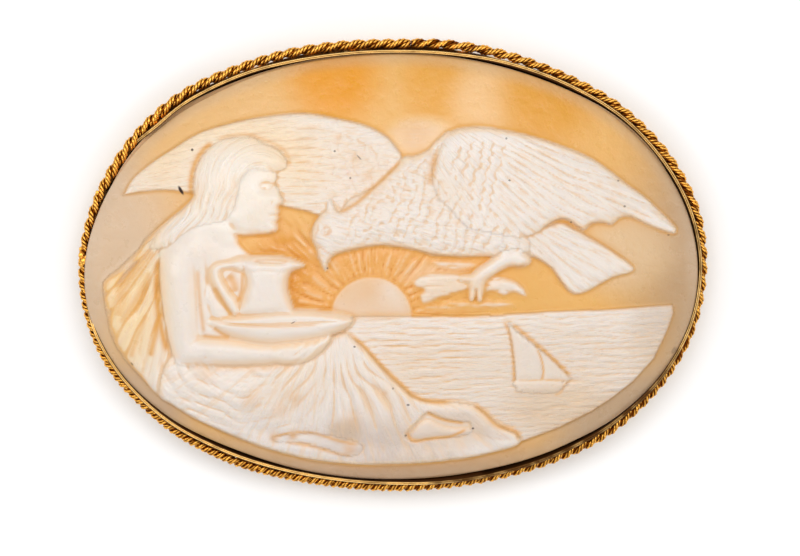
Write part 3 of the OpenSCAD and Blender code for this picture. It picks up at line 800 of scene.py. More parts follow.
lay(
    HAIR, 1.68, swell=3.2, rim=0.5, edge=0.26, form=hair_strands, cut=0.03,
    grain=lambda x, y: (0.4 * y, hair_flow(x, y)))
press([(-13.5, 9.6), (-14.8, 8.2), (-15.1, 6.2), (-15.6, 4.8)], 0.3, 0.1)
press([(-13.6, 12), (-12.8, 11.2), (-11.3, 10.4)], 0.2, 0.06)
dab(-11.3, 9.9, 0.9, 0.16)
say_relief("hair")

# %% [markdown]
# The skirt has two kinds of folds. From the raised knee they fan down to the hem, and round the hip
# they lie in long curves. Both are drawn as ridges at an angle round a middle, and one fades into the
# other along the thigh.

# %% The skirt and the feet
SKIRT = [
    (-21, -8.6), (-16, -9.2), (-11, -8.9), (-8, -8.2), (-6, -6.9), (-4.7, -6.5), (-4.1, -6.9), (-3, -7.8),
    (-2, -8.9), (-1, -10), (0, -11), (1, -11.9), (1.9, -12.6), (3, -13), (4.6, -13.1), (6, -13.2),
    (7.5, -13.4), (8.6, -14), (10, -15.2), (11, -15.8), (11.9, -16.3), (11.8, -17.3), (8, -18.3), (4, -18.85),
    (0, -19.05), (-4, -19.05), (-8, -18.6), (-12, -17.6), (-15.9, -16.1), (-18.6, -14.9), (-21.1, -13.4),
    (-22.4, -12.2)]


def skirt_folds(x, y, depth):
    """Folds that fan from the knee, and curves round the hip."""
    angle = np.degrees(np.arctan2(y + 3.2, x + 6.0))
    stir = 0.75 * noise(x, y, 3.2, 17)
    fan = crest(angle / 8.3 + stir, 0.75) * (0.7 + 0.6 * noise(x, y, 3.5, 18))
    fan = fan * smooth_step((np.hypot(x + 5.5, y + 6.5) - 0.8) / 4)
    hip = np.hypot((x + 13.2) * 0.72, y + 7.2)
    broad = crest(hip / 1.2 + 0.9 * noise(x, y, 2.4, 19), 0.9)
    narrow = crest(hip / 0.45 + noise(x, y, 1.8, 76))
    curves = (0.7 * broad + 0.3 * narrow) * (0.75 + 0.7 * noise(x, y, 2.0, 77))
    beside = smooth_step((x + 12.8 + 0.45 * (y + 12)) / 3.5)
    ruffle = 0.12 * noise(x, y, 0.8, 20) * smooth_step((-14.5 - y) / 2)
    lap = -0.55 * smooth_step((-11.5 - y) / 6.5) - 0.35 * smooth_step((x - 1) / 7)
    folds = 0.45 * fan * beside + 0.28 * curves * (1 - beside) + ruffle
    return folds + (lap - 0.22) * smooth_step(depth / 2.2)


lay(SKIRT, 1.75, swell=4.0, rim=0.3, form=skirt_folds, cut=0.2, edge=0.2, grain=fan_grain(-6, -3.2, 9, 0.45))
for fold in (
    [(-6.2, -9.5), (-8, -12), (-10.4, -14.6)],
    [(-5.6, -9.5), (-6.4, -12), (-7.6, -14.4)],
    [(-4.9, -9.8), (-4.9, -12.4), (-4.4, -15.4)],
    [(-3.8, -9.6), (-2.8, -12.4), (-1.6, -15.4)],
    [(-2.4, -10.4), (-0.8, -12.8), (0.6, -14.4)],
):
    press(fold, 0.34, 0.26, ends=0.4)
press([(-4.6, -6.9), (-2.6, -8.9), (-0.4, -11.3), (1.8, -13.2)], 0.5, -0.2, ends=0.2)
press([(-7.5, -17.3), (-9.5, -16.6), (-11.2, -16.6)], 0.2, 0.1)
LOW_FOOT = [
    (-11.6, -16.5), (-9.6, -16.2), (-7, -16.1), (-4.6, -16.6), (-3, -17.2), (-3.2, -18), (-4.6, -18.3),
    (-6.4, -17.6), (-9, -17), (-11, -16.9)]
lay(LOW_FOOT, 0.92, swell=0.5, rim=0.6, cut=0.28)
HEM_SHADE = [
    (1.2, -16.1), (2.4, -14.9), (3.3, -14.1), (5, -14.7), (6.6, -15), (7.4, -15.1), (7.2, -15.8),
    (5.6, -16.4), (3.6, -16.6), (1.8, -16.8)]
lay(HEM_SHADE, 0.62, swell=0.6, rim=0.8, cut=0, edge=0.2, over=None)
FOOT = [(1.6, -16.2), (2.5, -15.1), (3.4, -14.8), (4.3, -15.2), (5.6, -15.6), (7.2, -15.6), (7.5, -16),
        (6.2, -16.4), (4, -16.5), (2.2, -16.7)]
lay(FOOT, 1.05, swell=0.6, rim=0.55, edge=0.12, cut=0.1)
press([(3.2, -13.6), (5.4, -13.9), (7.6, -14.2), (8.6, -15.2), (8.8, -16.4)], 0.42, -0.22)
say_relief("skirt and feet")

# %% [markdown]
# The arm hangs straight from the shoulder and bends at the elbow, and the hand carries the bowl from
# below. An arm is a round form, so its swell is half its width.

# %% The arm and the hand
UPPER_ARM = [
    (-22.3, 1.6), (-20.4, 2.2), (-19, 1.2), (-18.8, -1.5), (-18.6, -4), (-18.4, -6.6), (-18, -8.6),
    (-19, -9.6), (-20.5, -9.5), (-21.1, -8.6), (-21.7, -6.6), (-22.1, -4), (-22.4, -1)]


def arm_swell(x, y, depth):
    """The muscle of the upper arm."""
    return 0.15 * np.exp(-(((y + 1.5) / 3) ** 2))


lay(UPPER_ARM, 1.75, swell=1.75, rim=0.3, form=arm_swell, cut=0.22, fade=((-20.3, 2.4), (-20.6, -1.2)))
dab(-20.4, 1.4, 2.2, 0.35)
LOWER_ARM = [
    (-20.9, -8.4), (-19.6, -7.1), (-18.2, -6.9), (-16, -7.0), (-14, -7.2), (-12, -7.3), (-10.5, -7.2),
    (-9, -7.2), (-7.5, -7), (-6.3, -6.9), (-6.2, -7.4), (-7, -8.1), (-8.2, -8.9), (-9.4, -9.4),
    (-11, -9.5), (-14, -9.65), (-17, -9.65), (-19.4, -9.7), (-20.5, -9.5)]
lay(LOWER_ARM, 1.85, swell=1.3, rim=0.3, cut=0.24, fade=((-20.6, -9.6), (-17.4, -7.8)))
dab(-20.1, -8.6, 1.0, 0.12)
HAND = [
    (-11.4, -7.6), (-9.8, -7.3), (-8, -7.1), (-6.4, -6.7), (-5.9, -6.9), (-6.2, -7.5), (-6.9, -8.3),
    (-8, -9.1), (-9.4, -9.5), (-11, -9.4), (-12.2, -8.9)]


def fingers(x, y, depth):
    """Four fingers side by side that curl up round the bowl."""
    from_wrist = np.hypot(x + 12.2, y + 4.4)
    along = smooth_step((x + 10.4) / 1.2)
    return 0.3 * (crest(from_wrist / 0.62 + 0.1 * noise(x, y, 1.0, 57), 0.8) - 0.6) * along


lay(HAND, 2.0, swell=0.9, rim=0.45, form=fingers, cut=0.08, fade=((-12.4, -8.4), (-10.6, -8.3)))
press([(-11.2, -8.0), (-10.2, -8.3), (-9.5, -8.1)], 0.22, 0.1)
say_relief("arm and hand")

# %% The ewer and the bowl
EWER = [
    (-14.9, -4.9), (-14.5, -3.1), (-14.15, -2), (-14.15, -1.2), (-14.5, -0.5), (-14.9, 0.1), (-14.6, 0.65),
    (-13.4, 0.85), (-12, 0.95), (-10.4, 0.8), (-9.2, 0.45), (-8.5, 0), (-9, -0.3), (-9.8, -0.7),
    (-10.1, -1.4), (-10.1, -2.2), (-9.9, -3.1), (-9.5, -4.2), (-9.4, -4.9)]


def ewer_round(x, y, depth):
    """The round body of the ewer, with a waist under its lip."""
    return 0.3 * np.sqrt(np.clip(1 - ((x + 12.1) / 2.6) ** 2, 0, 1)) - 0.18


HANDLE_OUT = [(-14.4, 0.75), (-15.8, 0.45), (-17, 0.25), (-17.6, -0.4), (-17.4, -1.5), (-16.7, -2.8),
              (-16, -4), (-15.2, -4.9), (-14.6, -4.4)]
HANDLE_IN = [(-14.9, -3.3), (-15.4, -2.7), (-16, -1.8), (-16.4, -1), (-16.3, -0.45), (-15.4, -0.35),
             (-14.6, -0.6), (-14.2, -0.3)]
lay(HANDLE_OUT + HANDLE_IN, 1.75, swell=0.55, rim=0.5, edge=0.12, cut=0.3)
dab(-15.5, -1.2, 0.6, -0.25)
lay(EWER, 1.75, swell=1.3, rim=0.5, form=ewer_round, edge=0.12, cut=0.26)
press([(-14.1, -0.75), (-12.2, -0.45), (-10, -0.75)], 0.16, 0.1, ends=0.1)
EWER_MOUTH = [(-13.4, 0.5), (-11.6, 0.62), (-9.9, 0.45), (-9.3, 0.15), (-10.6, 0.1), (-12.6, 0.2)]
lay(EWER_MOUTH, 1.42, swell=0.2, rim=0.9, edge=0.12, cut=0, over=None)
BOWL = [
    (-17.85, -5.3), (-16, -5), (-14, -4.7), (-12, -4.4), (-10, -4.25), (-8, -4.25), (-6, -4.5), (-4.6, -4.8),
    (-3.9, -5.1), (-4.1, -5.7), (-5, -6.3), (-6.5, -6.9), (-8, -7.25), (-10, -7.5), (-12, -7.6), (-14, -7.3),
    (-16, -6.7), (-17.3, -5.9)]
lay(BOWL, 2.1, swell=1.5, rim=0.38, edge=0.12, cut=0.24)
BOWL_MOUTH = [(-16.6, -5.35), (-14, -5), (-11, -4.72), (-8, -4.65), (-5.6, -4.95), (-4.8, -5.25), (-7, -5.45),
              (-10, -5.6), (-13, -5.65)]
lay(BOWL_MOUTH, 1.85, swell=0.3, rim=0.85, edge=0.15, cut=0, over=None)
say_relief("ewer and bowl")

# %% [markdown]
# Outside the scene the carver leaves a plain margin, and the setting hides its edge. So the relief
# fades out before the edge, and a last pass rubs the sharpest corners down, as a polisher does.

# %% The margin and the polish
PLAIN_MARGIN = 0.5
MARGIN_FADE = 0.8
to_edge = (1 - sheet_share) * oval_reach(np.arctan2(sheet_y, sheet_x))
relief *= smooth_step((to_edge - PLAIN_MARGIN) / MARGIN_FADE)


def rubbed(height, passes):
    """Rubs a height map down: each place moves toward the mean of its neighbours."""
    for _ in range(passes):
        wide = np.pad(height, 1, mode="edge")
        height = (
            4 * height + wide[:-2, 1:-1] + wide[2:, 1:-1] + wide[1:-1, :-2] + wide[1:-1, 2:]
        ) / 8
    return height


relief = rubbed(relief, 1)


def blob(x, y, reach_x, reach_y):
    """A soft patch of the face: 1 in its middle, 0 outside."""
    return smooth_step(1.4 * (1 - np.hypot((sheet_x - x) / reach_x, (sheet_y - y) / reach_y)))


# The white layer is thin behind the figure and by the sun, and thick at the knees.
amber_from = -0.03 + 0.34 * blob(-24.5, -3, 6, 10) + 0.16 * blob(-16, -2, 6, 6) - 0.1 * blob(-4, -15, 16, 7)
amber_from += 0.1 * blob(-17, 3, 7, 4) + 0.12 * blob(-13, 9, 14, 6) + 0.1 * blob(2, -8.5, 9, 6)
amber_from += 0.1 * blob(7, -2.2, 7, 2.5) + 0.07 * blob(-2.1, -4.2, 5.5, 5.5)
amber_from += 0.04 * noise(sheet_x, sheet_y, 2.5, 58)
white_left = smooth_step((relief - amber_from) / 0.42)


def hollow(passes, kinds_apart):
    """How far each place lies below the mean of its neighbours. kinds_apart, from 0 to 1, is how much
    white places are measured against white ones only, and ground against ground."""
    around = rubbed(relief, passes) - relief
    on_white = smooth_step((relief - amber_from) / 0.3)
    apart = 0
    for share in (on_white, 1 - on_white):
        apart = apart + share * (rubbed(relief * share, passes) / (rubbed(share, passes) + 1e-6) - relief)
    return around * (1 - kinds_apart) + apart * kinds_apart


hollow_near = hollow(6, 0.85)
hollow_far = hollow(40, 0.6)
slope_y, slope_x = np.gradient(rubbed(relief, 2), 2 * half_width / ROWS, 2 * half_length / COLUMNS)
steepness = smooth_step(np.hypot(slope_x, slope_y) - 0.4)
rim_band = smooth_step((1.6 - to_edge) / 1.3)
say_relief("finished sheet")

# %% [markdown]
# Some cuts went through the white into the amber, along the outlines and in the folds. Such a colour
# follows a line better than a patch of noise does, so it is drawn on a sheet of its own, which the
# shell keeps as numbers at its points.

# %% Amber lines
# Each row: how far the line reaches to its sides, its strength and its path.
AMBER_CUTS = [
    (0.3, 0.95, [(-22.5, 0.9), (-22.7, -2), (-22.4, -5.2), (-21.6, -8.6)]),
    (0.3, 0.85, [(-22.2, -4.4), (-22.8, -6.6), (-23.3, -8.9)]),
    (0.5, 0.6, [(-22.9, 1.6), (-24.6, -0.4), (-26.7, -3)]),
    (0.4, 0.5, [(-23.2, -0.4), (-24.4, -3), (-26.2, -5.8)]),
    (0.8, 0.5, [(-26, -2.2), (-26.1, -3.4), (-26.3, -5)]),
    (0.3, 0.5, [(-23.6, -4.6), (-24.6, -7), (-25.2, -9)]),
    (0.2, 0.6, [(-18.7, -0.2), (-18.55, -3), (-18.25, -5.5), (-18.1, -6.7)]),
    (0.2, 0.7, [(-18.3, -6.7), (-17, -6.85), (-15.6, -6.9)]),
    (0.24, 0.75, [(-17.2, -2.0), (-16.2, -3.6), (-15.4, -4.9)]),
    (0.2, 0.8, [(-14.45, -0.6), (-14.5, -2.2), (-14.9, -3.6)]),
    (0.5, 0.75, [(-15.9, -0.9), (-15.3, -1.6), (-15.1, -2.6)]),
    (0.25, 0.6, [(-17.2, -5.9), (-16.5, -6.5), (-15.6, -6.9)]),
    (0.3, 0.3, [(-20, -9.7), (-17, -9.9), (-13, -9.8), (-9, -9.5)]),
    (0.2, 0.75, [(-5.4, 4.9), (-3.6, 5.9), (-2, 7.3), (-0.6, 8.6), (0.9, 10.2)]),
    (0.4, 0.6, [(3.5, 7.6), (3.7, 9), (4.1, 10.9)]),
    (0.17, 0.6, [(-6.5, 0.1), (-5.2, 1.0), (-3, 1.6), (0, 1.7), (3, 1.15), (6, 0.7), (9, 0.7)]),
    (0.15, 0.55, [(12.8, 0.8), (14, 0.3), (15.4, -0.8), (16.6, -2.3)]),
    (0.17, 0.6, [(16.2, 4.1), (18, 3.2), (20, 2.1), (22.4, 0.4)]),
    (0.14, 0.5, [(12.2, 2.6), (13.7, 3), (15.9, 4.3), (17.7, 3.6), (19.1, 3.95), (20.9, 3.8)]),
    (0.2, 0.7, [on_head(1.03, -0.4), on_head(1.03, -0.22), on_head(1.02, -0.08), on_head(0.97, 0.0)]),
    (0.28, 0.9, [(-19.4, 6.2), (-19.4, 7.8), (-19.15, 9.3), (-18.4, 10.8), (-17.2, 11.9)]),
    (0.18, 0.5, [
        (-17.2, 11.9), (-15.8, 12.4), (-14, 12.55), (-12.3, 12), (-10.6, 11.15), (-9.95, 10), (-10.3, 9)]),
    (0.14, 0.6, [
        (1.95, -4.7), (1.3, -2.9), (-0.2, -1.5), (-2.1, -0.98), (-4, -1.5), (-5.5, -2.9), (-6.1, -4.7)]),
    (0.11, 0.6, [
        (-6.7, 3.35), (-6.55, 3.65), (-6.25, 3.7), (-6.0, 3.4), (-6.1, 3.05), (-6.45, 2.95), (-6.7, 3.2)]),
    (0.1, 0.55, [(-7.3, 1.9), (-6.8, 1.6), (-6.2, 1.15), (-5.9, 1.0)]),
    (0.1, 0.45, [(-7.5, 2.9), (-7.2, 3.4), (-7.25, 3.9)]),
    (0.16, 0.8, [(10.5, -5.2), (11.15, -6.6), (11.5, -8.8), (11.62, -11.5)]),
    (0.2, 0.85, [(11.2, -5.5), (13, -6.95), (15, -8.7), (17.2, -10.9)]),
    (0.11, 0.8, [(13.75, -8), (14.2, -9), (14.4, -10.2), (14.3, -11)]),
    (0.13, 0.5, [(17.1, -11), (16.4, -11.5), (16.1, -12.2), (15.4, -12.5)]),
    (0.2, 0.9, [
        (-4.5, -6.3), (-3, -7.6), (-2, -8.7), (-1, -9.8), (0, -10.8), (1, -11.7), (2, -12.6), (3.8, -13.1),
        (6, -13.1)]),
    (0.2, 0.85, [(7.6, -13.3), (8.8, -14.2), (9.9, -15.3), (11.7, -16.0), (12.1, -16.9)]),
    (0.15, 0.9, [(3.1, -13.9), (4, -14.5), (5.2, -14.9), (6.9, -15.15)]),
    (0.15, 0.9, [(1.35, -15.8), (1.6, -16.6), (2.2, -16.85), (3.8, -16.6), (5.6, -16.35), (7.2, -15.6)]),
    (0.2, 0.7, [(12.9, 0), (11.2, -0.4), (9.9, -1), (9, -1.8), (8.75, -3.2)]),
    (0.13, 0.6, [(-13.3, 0.42), (-11.6, 0.5), (-10, 0.35)]),
    (0.12, 0.55, [(-16.4, -5.55), (-13, -5.75), (-10, -5.75), (-7, -5.6)]),
    (0.16, 0.7, [(-11.9, -16.4), (-9, -16), (-7.4, -16.1), (-5.6, -16.7), (-3.1, -17.3)]),
    (0.15, 0.65, [(-10.4, -16.9), (-7.6, -17.4), (-5.6, -18), (-3.8, -18.2)]),
]
for width, strength, path in AMBER_CUTS:
    draw(amber_lines, path, width, strength, ends=0.1)
# Round spots: place, radius, strength.
AMBER_SPOTS = [
    (-6.17, 3.2, 0.2, 0.7), (-11.4, -16.5, 0.5, 0.65), (-9.6, -16.25, 0.45, 0.75), (-7.5, -17.35, 0.25, 0.6),
    (-4.2, -17.6, 0.6, 0.45), (-3.8, -14.5, 0.9, 0.3), (-13.6, -12.9, 0.9, 0.25), (-10.8, -13.7, 0.8, 0.3),
    (-9.5, -12.7, 0.7, 0.3), (-17.9, -10.2, 1.0, 0.3), (-13.4, -10, 0.6, 0.3), (-5.2, 12.2, 0.4, 0.3),
    (-3.6, 10.2, 0.5, 0.35), (-2.4, 8.6, 0.5, 0.3), (-0.8, -12.2, 0.3, 0.4)]
for x, y, radius, strength in AMBER_SPOTS:
    draw(amber_lines, [(x, y)], radius, strength)
# Along the foot of every form the ground is drawn a richer amber.
foot = smooth_step(rubbed(white_left, 18) / 0.5) * (1 - white_left)
uneven = 0.5 + 0.5 * noise(sheet_x, sheet_y, 2.2, 78)
amber_lines = np.maximum(amber_lines, foot * (0.3 + 0.45 * uneven) * (1 - rim_band))
print(f"{len(AMBER_CUTS)} amber cuts")

# %% [markdown]
# The shell itself: a grid is moved onto the oval and lifted to the dome and its relief. Its border is
# extruded down for the edge, inward for the flat band that sits on the setting, and on to a concave
# back, as the inside of a shell is. The grid keeps its even squares, so the finest barbs and ripples
# get the same detail everywhere.

# %% The carved shell as one mesh
BAND_Z = 2.1
BAND_WIDTH = 1.8
BACK_RISE = 5.0
# The back's rings, as shares of the way out from its middle.
BACK_RINGS = (0.82, 0.55, 0.28, 0.0)
# The face's border goes straight down by the first, and the edge starts the second below the dome.
FACE_DROP = 0.16
EDGE_DROP = 0.12
# How much of its height on the sheet the relief has on the piece.
RELIEF_SHARE = 0.82


def mesh_object(name, bm):
    """A finished object with smooth shading from a bmesh, at the origin."""
    mesh = bpy.data.meshes.new(name)
    bm.to_mesh(mesh)
    bm.free()
    piece = bpy.data.objects.new(name, mesh)
    bpy.context.scene.collection.objects.link(piece)
    mesh.shade_smooth()
    return piece


def point_values(piece, name, values):
    """Keeps one number for each vertex, which a material can read by its name."""
    attribute = piece.data.attributes.new(name, "FLOAT", "POINT")
    attribute.data.foreach_set("value", np.asarray(values, dtype=np.float32))


bm = bmesh.new()
bmesh.ops.create_grid(bm, x_segments=COLUMNS, y_segments=ROWS, size=1)
bm.verts.ensure_lookup_table()
square = np.array([v.co for v in bm.verts])
column = np.rint((square[:, 0] + 1) / 2 * COLUMNS).astype(int)
row = np.rint((square[:, 1] + 1) / 2 * ROWS).astype(int)
face_x, face_y = place_x[row, column], place_y[row, column]
face_z = dome[row, column] + RELIEF_SHARE * relief[row, column] + rim_lift[row, column]
for vert, x, y, z in zip(bm.verts, face_x, face_y, face_z):
    vert.co = (x * MM, y * MM, z * MM)
face_count = len(bm.verts)
print("vertices on the face:", face_count)

# %% The edge and the hollow back


def next_ring(edges, place):
    """Extrudes a closed border and puts each new vertex where place says."""
    made = bmesh.ops.extrude_edge_only(bm, edges=edges)["geom"]
    for vert in (g for g in made if isinstance(g, bmesh.types.BMVert)):
        vert.co = place(vert.co)
    return [g for g in made if isinstance(g, bmesh.types.BMEdge) and g.is_boundary]


def on_ring(inward, height, share=1.0):
    """Puts a border's vertex at a height, on the line that runs inward of the shell's nominal edge, or
    share of the way out to that line."""
    def place(co):
        angle = np.arctan2(co.y, co.x)
        reach = (oval_reach(angle) - inward) * share * MM
        return Vector((reach * np.cos(angle), reach * np.sin(angle), height * MM))
    return place


def down_from_face(co):
    """A place straight below one of the face's border."""
    return Vector((co.x, co.y, co.z - FACE_DROP * MM))


border = [e for e in bm.edges if e.is_boundary]
border = next_ring(border, down_from_face)
border = next_ring(border, on_ring(0.0, EDGE_Z - EDGE_DROP))
border = next_ring(border, on_ring(0.0, BAND_Z))
border = next_ring(border, on_ring(BAND_WIDTH, BAND_Z))
for share in BACK_RINGS:
    border = next_ring(border, on_ring(BAND_WIDTH, BAND_Z + BACK_RISE * (1 - share**2), share))
pole = list({v for e in border for v in e.verts})
bmesh.ops.remove_doubles(bm, verts=pole, dist=0.01 * MM)
bmesh.ops.recalc_face_normals(bm, faces=bm.faces)
back_count = len(bm.verts) - face_count
dressed_cameo = mesh_object("dressed_cameo", bm)
filler = np.zeros(back_count)
for name, sheet in (
    ("white", white_left), ("groove", hollow_near), ("hollow", hollow_far), ("amber_lines", amber_lines),
    ("steepness", steepness), ("rim_band", rim_band), ("grain_along", grain_along),
    ("grain_across", grain_across),
):
    point_values(dressed_cameo, name, np.concatenate([sheet[row, column], filler]))
point_values(dressed_cameo, "back", np.concatenate([np.zeros(face_count), filler + 1]))
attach(dressed_cameo, "root")
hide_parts("cameo")
triangles = sum(len(p.vertices) - 2 for p in dressed_cameo.data.polygons)
print("shell triangles:", triangles)

# %% [markdown]
# Helmet shell is white outside and amber below, and its polish is soft, with some light passing
# through. The colour follows the depth of the cut: white on what stands proud, peach in shallow
# grooves, and amber where the tool went through the white. The ground was cut to an uneven depth, so
# some parts of the sky are richer than others.

# %% A few node helpers


def new_material(name):
    """A node material with only its Principled shader and output."""
    material = bpy.data.materials.new(name)
    material.use_nodes = True
    tree = material.node_tree
    shader = next(n for n in tree.nodes if n.type == "BSDF_PRINCIPLED")
    return material, tree, shader


def add_node(tree, kind, settings=None, **inputs):
    """Adds a node and sets or links its inputs, by their names or as i and their number."""
    node = tree.nodes.new(kind)
    for key, value in (settings or {}).items():
        setattr(node, key, value)
    for key, value in inputs.items():
        socket = node.inputs[int(key[1:])] if key[0] == "i" and key[1:].isdigit() else node.inputs[key]
        if isinstance(value, bpy.types.NodeSocket):
            tree.links.new(value, socket)
        else:
            socket.default_value = value
    return node


def calculate(tree, operation, a, b):
    """One Math node."""
    return add_node(tree, "ShaderNodeMath", {"operation": operation}, i0=a, i1=b).outputs[0]


def mixed(tree, share, a, b):
    """One colour laid over another."""
    return add_node(tree, "ShaderNodeMix", {"data_type": "RGBA"}, i0=share, i6=a, i7=b).outputs[2]


def in_range(tree, value, low, high, to_low=0.0, to_high=1.0):
    """A soft step from to_low to to_high as value goes from low to high."""
    settings = {"interpolation_type": "SMOOTHSTEP"}
    node = add_node(
        tree, "ShaderNodeMapRange", settings, i0=value, i1=low, i2=high, i3=to_low, i4=to_high)
    return node.outputs[0]


def read_value(tree, name):
    """A number that the mesh keeps for each vertex."""
    return add_node(tree, "ShaderNodeAttribute", {"attribute_name": name}).outputs["Fac"]


LIGHT_GAIN = 1.14
GLOSS = 0.04


def seen(red, green, blue):
    """A colour as a shader wants it, from the values that a picture shows in the studio's light: the
    light's gain comes off, and the pale gloss that lies over every colour."""
    c = np.array([red, green, blue]) / 255
    c = np.where(c <= 0.04045, c / 12.92, ((c + 0.055) / 1.055) ** 2.4) / LIGHT_GAIN - GLOSS
    return (*np.maximum(c, 0.003), 1.0)


def patch(tree, place, middle, reach, strength=1.0, solid=0.3, turn=0.0):
    """A soft oval patch round a place of the face, in millimetres: strength in its middle, 0 outside.
    solid is the share of its reach that has the full strength, and turn is in degrees."""
    moved = add_node(
        tree, "ShaderNodeMapping", {"vector_type": "TEXTURE"}, Vector=place,
        Location=(middle[0] * MM, middle[1] * MM, 0), Rotation=(0, 0, np.radians(turn)),
        Scale=(reach[0] * MM, reach[1] * MM, 1))
    length = add_node(tree, "ShaderNodeVectorMath", {"operation": "LENGTH"}, i0=moved.outputs[0])
    return in_range(tree, length.outputs["Value"], 1.0, solid, 0.0, strength)


print("the shader's colour for a picture's white:", [round(v, 2) for v in seen(255, 255, 255)])

# %% What the shell's material reads
# How many fine cuts there are to a millimetre, along the grain and across it.
GRAIN_ALONG = 0.55
GRAIN_ACROSS = 2.6
shell_finish, tree, shader = new_material("carved_shell")
place = add_node(tree, "ShaderNodeTexCoord").outputs["Object"]
white = read_value(tree, "white")
groove = read_value(tree, "groove")
hollow = read_value(tree, "hollow")
soft_clouds = add_node(tree, "ShaderNodeTexNoise", None, Vector=place, Scale=160.0, Detail=3.0).outputs[0]
fine_clouds = add_node(tree, "ShaderNodeTexNoise", None, Vector=place, Scale=900.0, Detail=4.0).outputs[0]
# The finest cuts of the graver run along each form's own grain. They are bump and colour.
along = calculate(tree, "MULTIPLY", read_value(tree, "grain_along"), GRAIN_ALONG)
across = calculate(tree, "MULTIPLY", read_value(tree, "grain_across"), GRAIN_ACROSS)
grain_place = add_node(tree, "ShaderNodeCombineXYZ", None, X=along, Y=across).outputs[0]
fine_cuts = add_node(tree, "ShaderNodeTexNoise", None, Vector=grain_place, Scale=1.0, Detail=3.0).outputs[0]
print(len(tree.nodes), "nodes")

# %% The colour of the ground
# The patches at the two ends and along the bottom make the ground greyer and darker there.
# Broad soft patches: middle, reach, strength, colour.
GROUND = [
    ((-6, 18), (6.5, 6.5), 1.0, (241, 167, 68)), ((3.8, 17.5), (4.5, 5.5), 0.9, (237, 174, 86)),
    ((8.5, 16), (4.5, 4.5), 0.8, (248, 204, 150)), ((14.5, 16.5), (6.5, 7), 1.0, (234, 170, 80)),
    ((-2, -1), (15, 7), 1.0, (242, 181, 110)), ((-10.3, 0), (4, 6), 0.8, (233, 163, 80)),
    ((9, -1.5), (8, 3.5), 0.7, (239, 184, 108)), ((4.6, -0.4), (5, 1.7), 0.8, (247, 208, 168)),
    ((2.6, 12.6), (4.4, 2.5), 0.9, (253, 224, 186)),
    ((-29, 2), (13, 16), 1.0, (223, 193, 161)), ((-18, 15), (13, 8), 0.7, (242, 198, 142)),
    ((32, 0), (14, 26), 1.0, (198, 164, 127)), ((21.5, 1.5), (7, 5), 0.8, (230, 198, 158)),
    ((0, -26), (42, 14), 1.0, (192, 157, 127)), ((22, -14), (11, 8), 1.0, (202, 171, 138)),
    ((-24, -13), (7, 6), 0.8, (208, 178, 150)),
]
sky = seen(241, 189, 118)
for middle, reach, strength, color in GROUND:
    sky = mixed(tree, patch(tree, place, middle, reach, strength), sky, seen(*color))
rich_cuts = patch(tree, place, (-3, -0.5), (15, 8), 1.0, 0.5)
cut_depth = in_range(tree, groove, 0.006, 0.07, 0.0, 0.95)
cut_depth = calculate(tree, "MULTIPLY", cut_depth, calculate(tree, "MAXIMUM", rich_cuts, 0.08))
amber = mixed(tree, 0.6, sky, seen(218, 140, 44))
ground = mixed(tree, cut_depth, sky, amber)
raised = mixed(tree, 0.5, sky, seen(250, 220, 184))
ground = mixed(tree, in_range(tree, groove, -0.006, -0.05, 0.0, 0.8), ground, raised)
# The ground is drawn greyer in a band along the shell's edge.
greyer_rim = calculate(tree, "MULTIPLY", read_value(tree, "rim_band"), 0.35)
ground = mixed(tree, greyer_rim, ground, seen(208, 184, 158))
print(len(GROUND), "patches on the ground")

# %% The colour of the white layer
# Several patches make the white greyer and darker toward the bottom and the right end.
# Broad soft patches, with one colour where the white is thin and one where it is thick.
WHITES = [
    ((-26, -3), (6.5, 12), 1.0, (246, 200, 132), (251, 224, 180)),
    ((-16, 10.5), (14, 7), 1.0, (246, 208, 156), (252, 226, 190)),
    ((-15.5, 7.5), (7.5, 7), 0.9, (246, 224, 200), (250, 241, 230)),
    ((-3, 8.5), (5, 5), 0.6, (246, 208, 172), (245, 227, 210)),
    ((9.5, 12.2), (7, 2.4), 0.9, (247, 218, 190), (249, 239, 230)),
    ((-2, -18), (24, 10), 1.0, (231, 206, 184), (240, 229, 221)),
    ((0, -17), (9, 4), 0.8, (214, 186, 166), (222, 205, 194)),
    ((-4.5, -15.5), (2.4, 1.8), 0.8, (204, 168, 138), (216, 190, 166)),
    ((7, -15), (5, 3), 0.5, (212, 178, 142), (226, 200, 174)),
    ((5, -9.5), (9, 5), 0.7, (234, 200, 166), (238, 220, 202)),
    ((17, -10), (14, 8), 0.9, (229, 201, 172), (237, 222, 208)),
    ((16, -13.5), (8, 4), 0.8, (212, 178, 142), (228, 203, 176)),
    ((26, -6), (5, 6), 0.9, (206, 184, 164), (220, 203, 187)),
    ((6, -2), (7, 2.6), 0.8, (240, 204, 160), (242, 217, 190)),
]
low_white = seen(242, 208, 172)
high_white = seen(244, 233, 223)
for middle, reach, strength, low_color, high_color in WHITES:
    share = patch(tree, place, middle, reach, strength)
    low_white = mixed(tree, share, low_white, seen(*low_color))
    high_white = mixed(tree, share, high_white, seen(*high_color))
shell = mixed(tree, in_range(tree, white, 0.05, 0.5), ground, low_white)
shell = mixed(tree, in_range(tree, white, 0.3, 0.85), shell, high_white)
print(len(WHITES), "patches on the white layer")

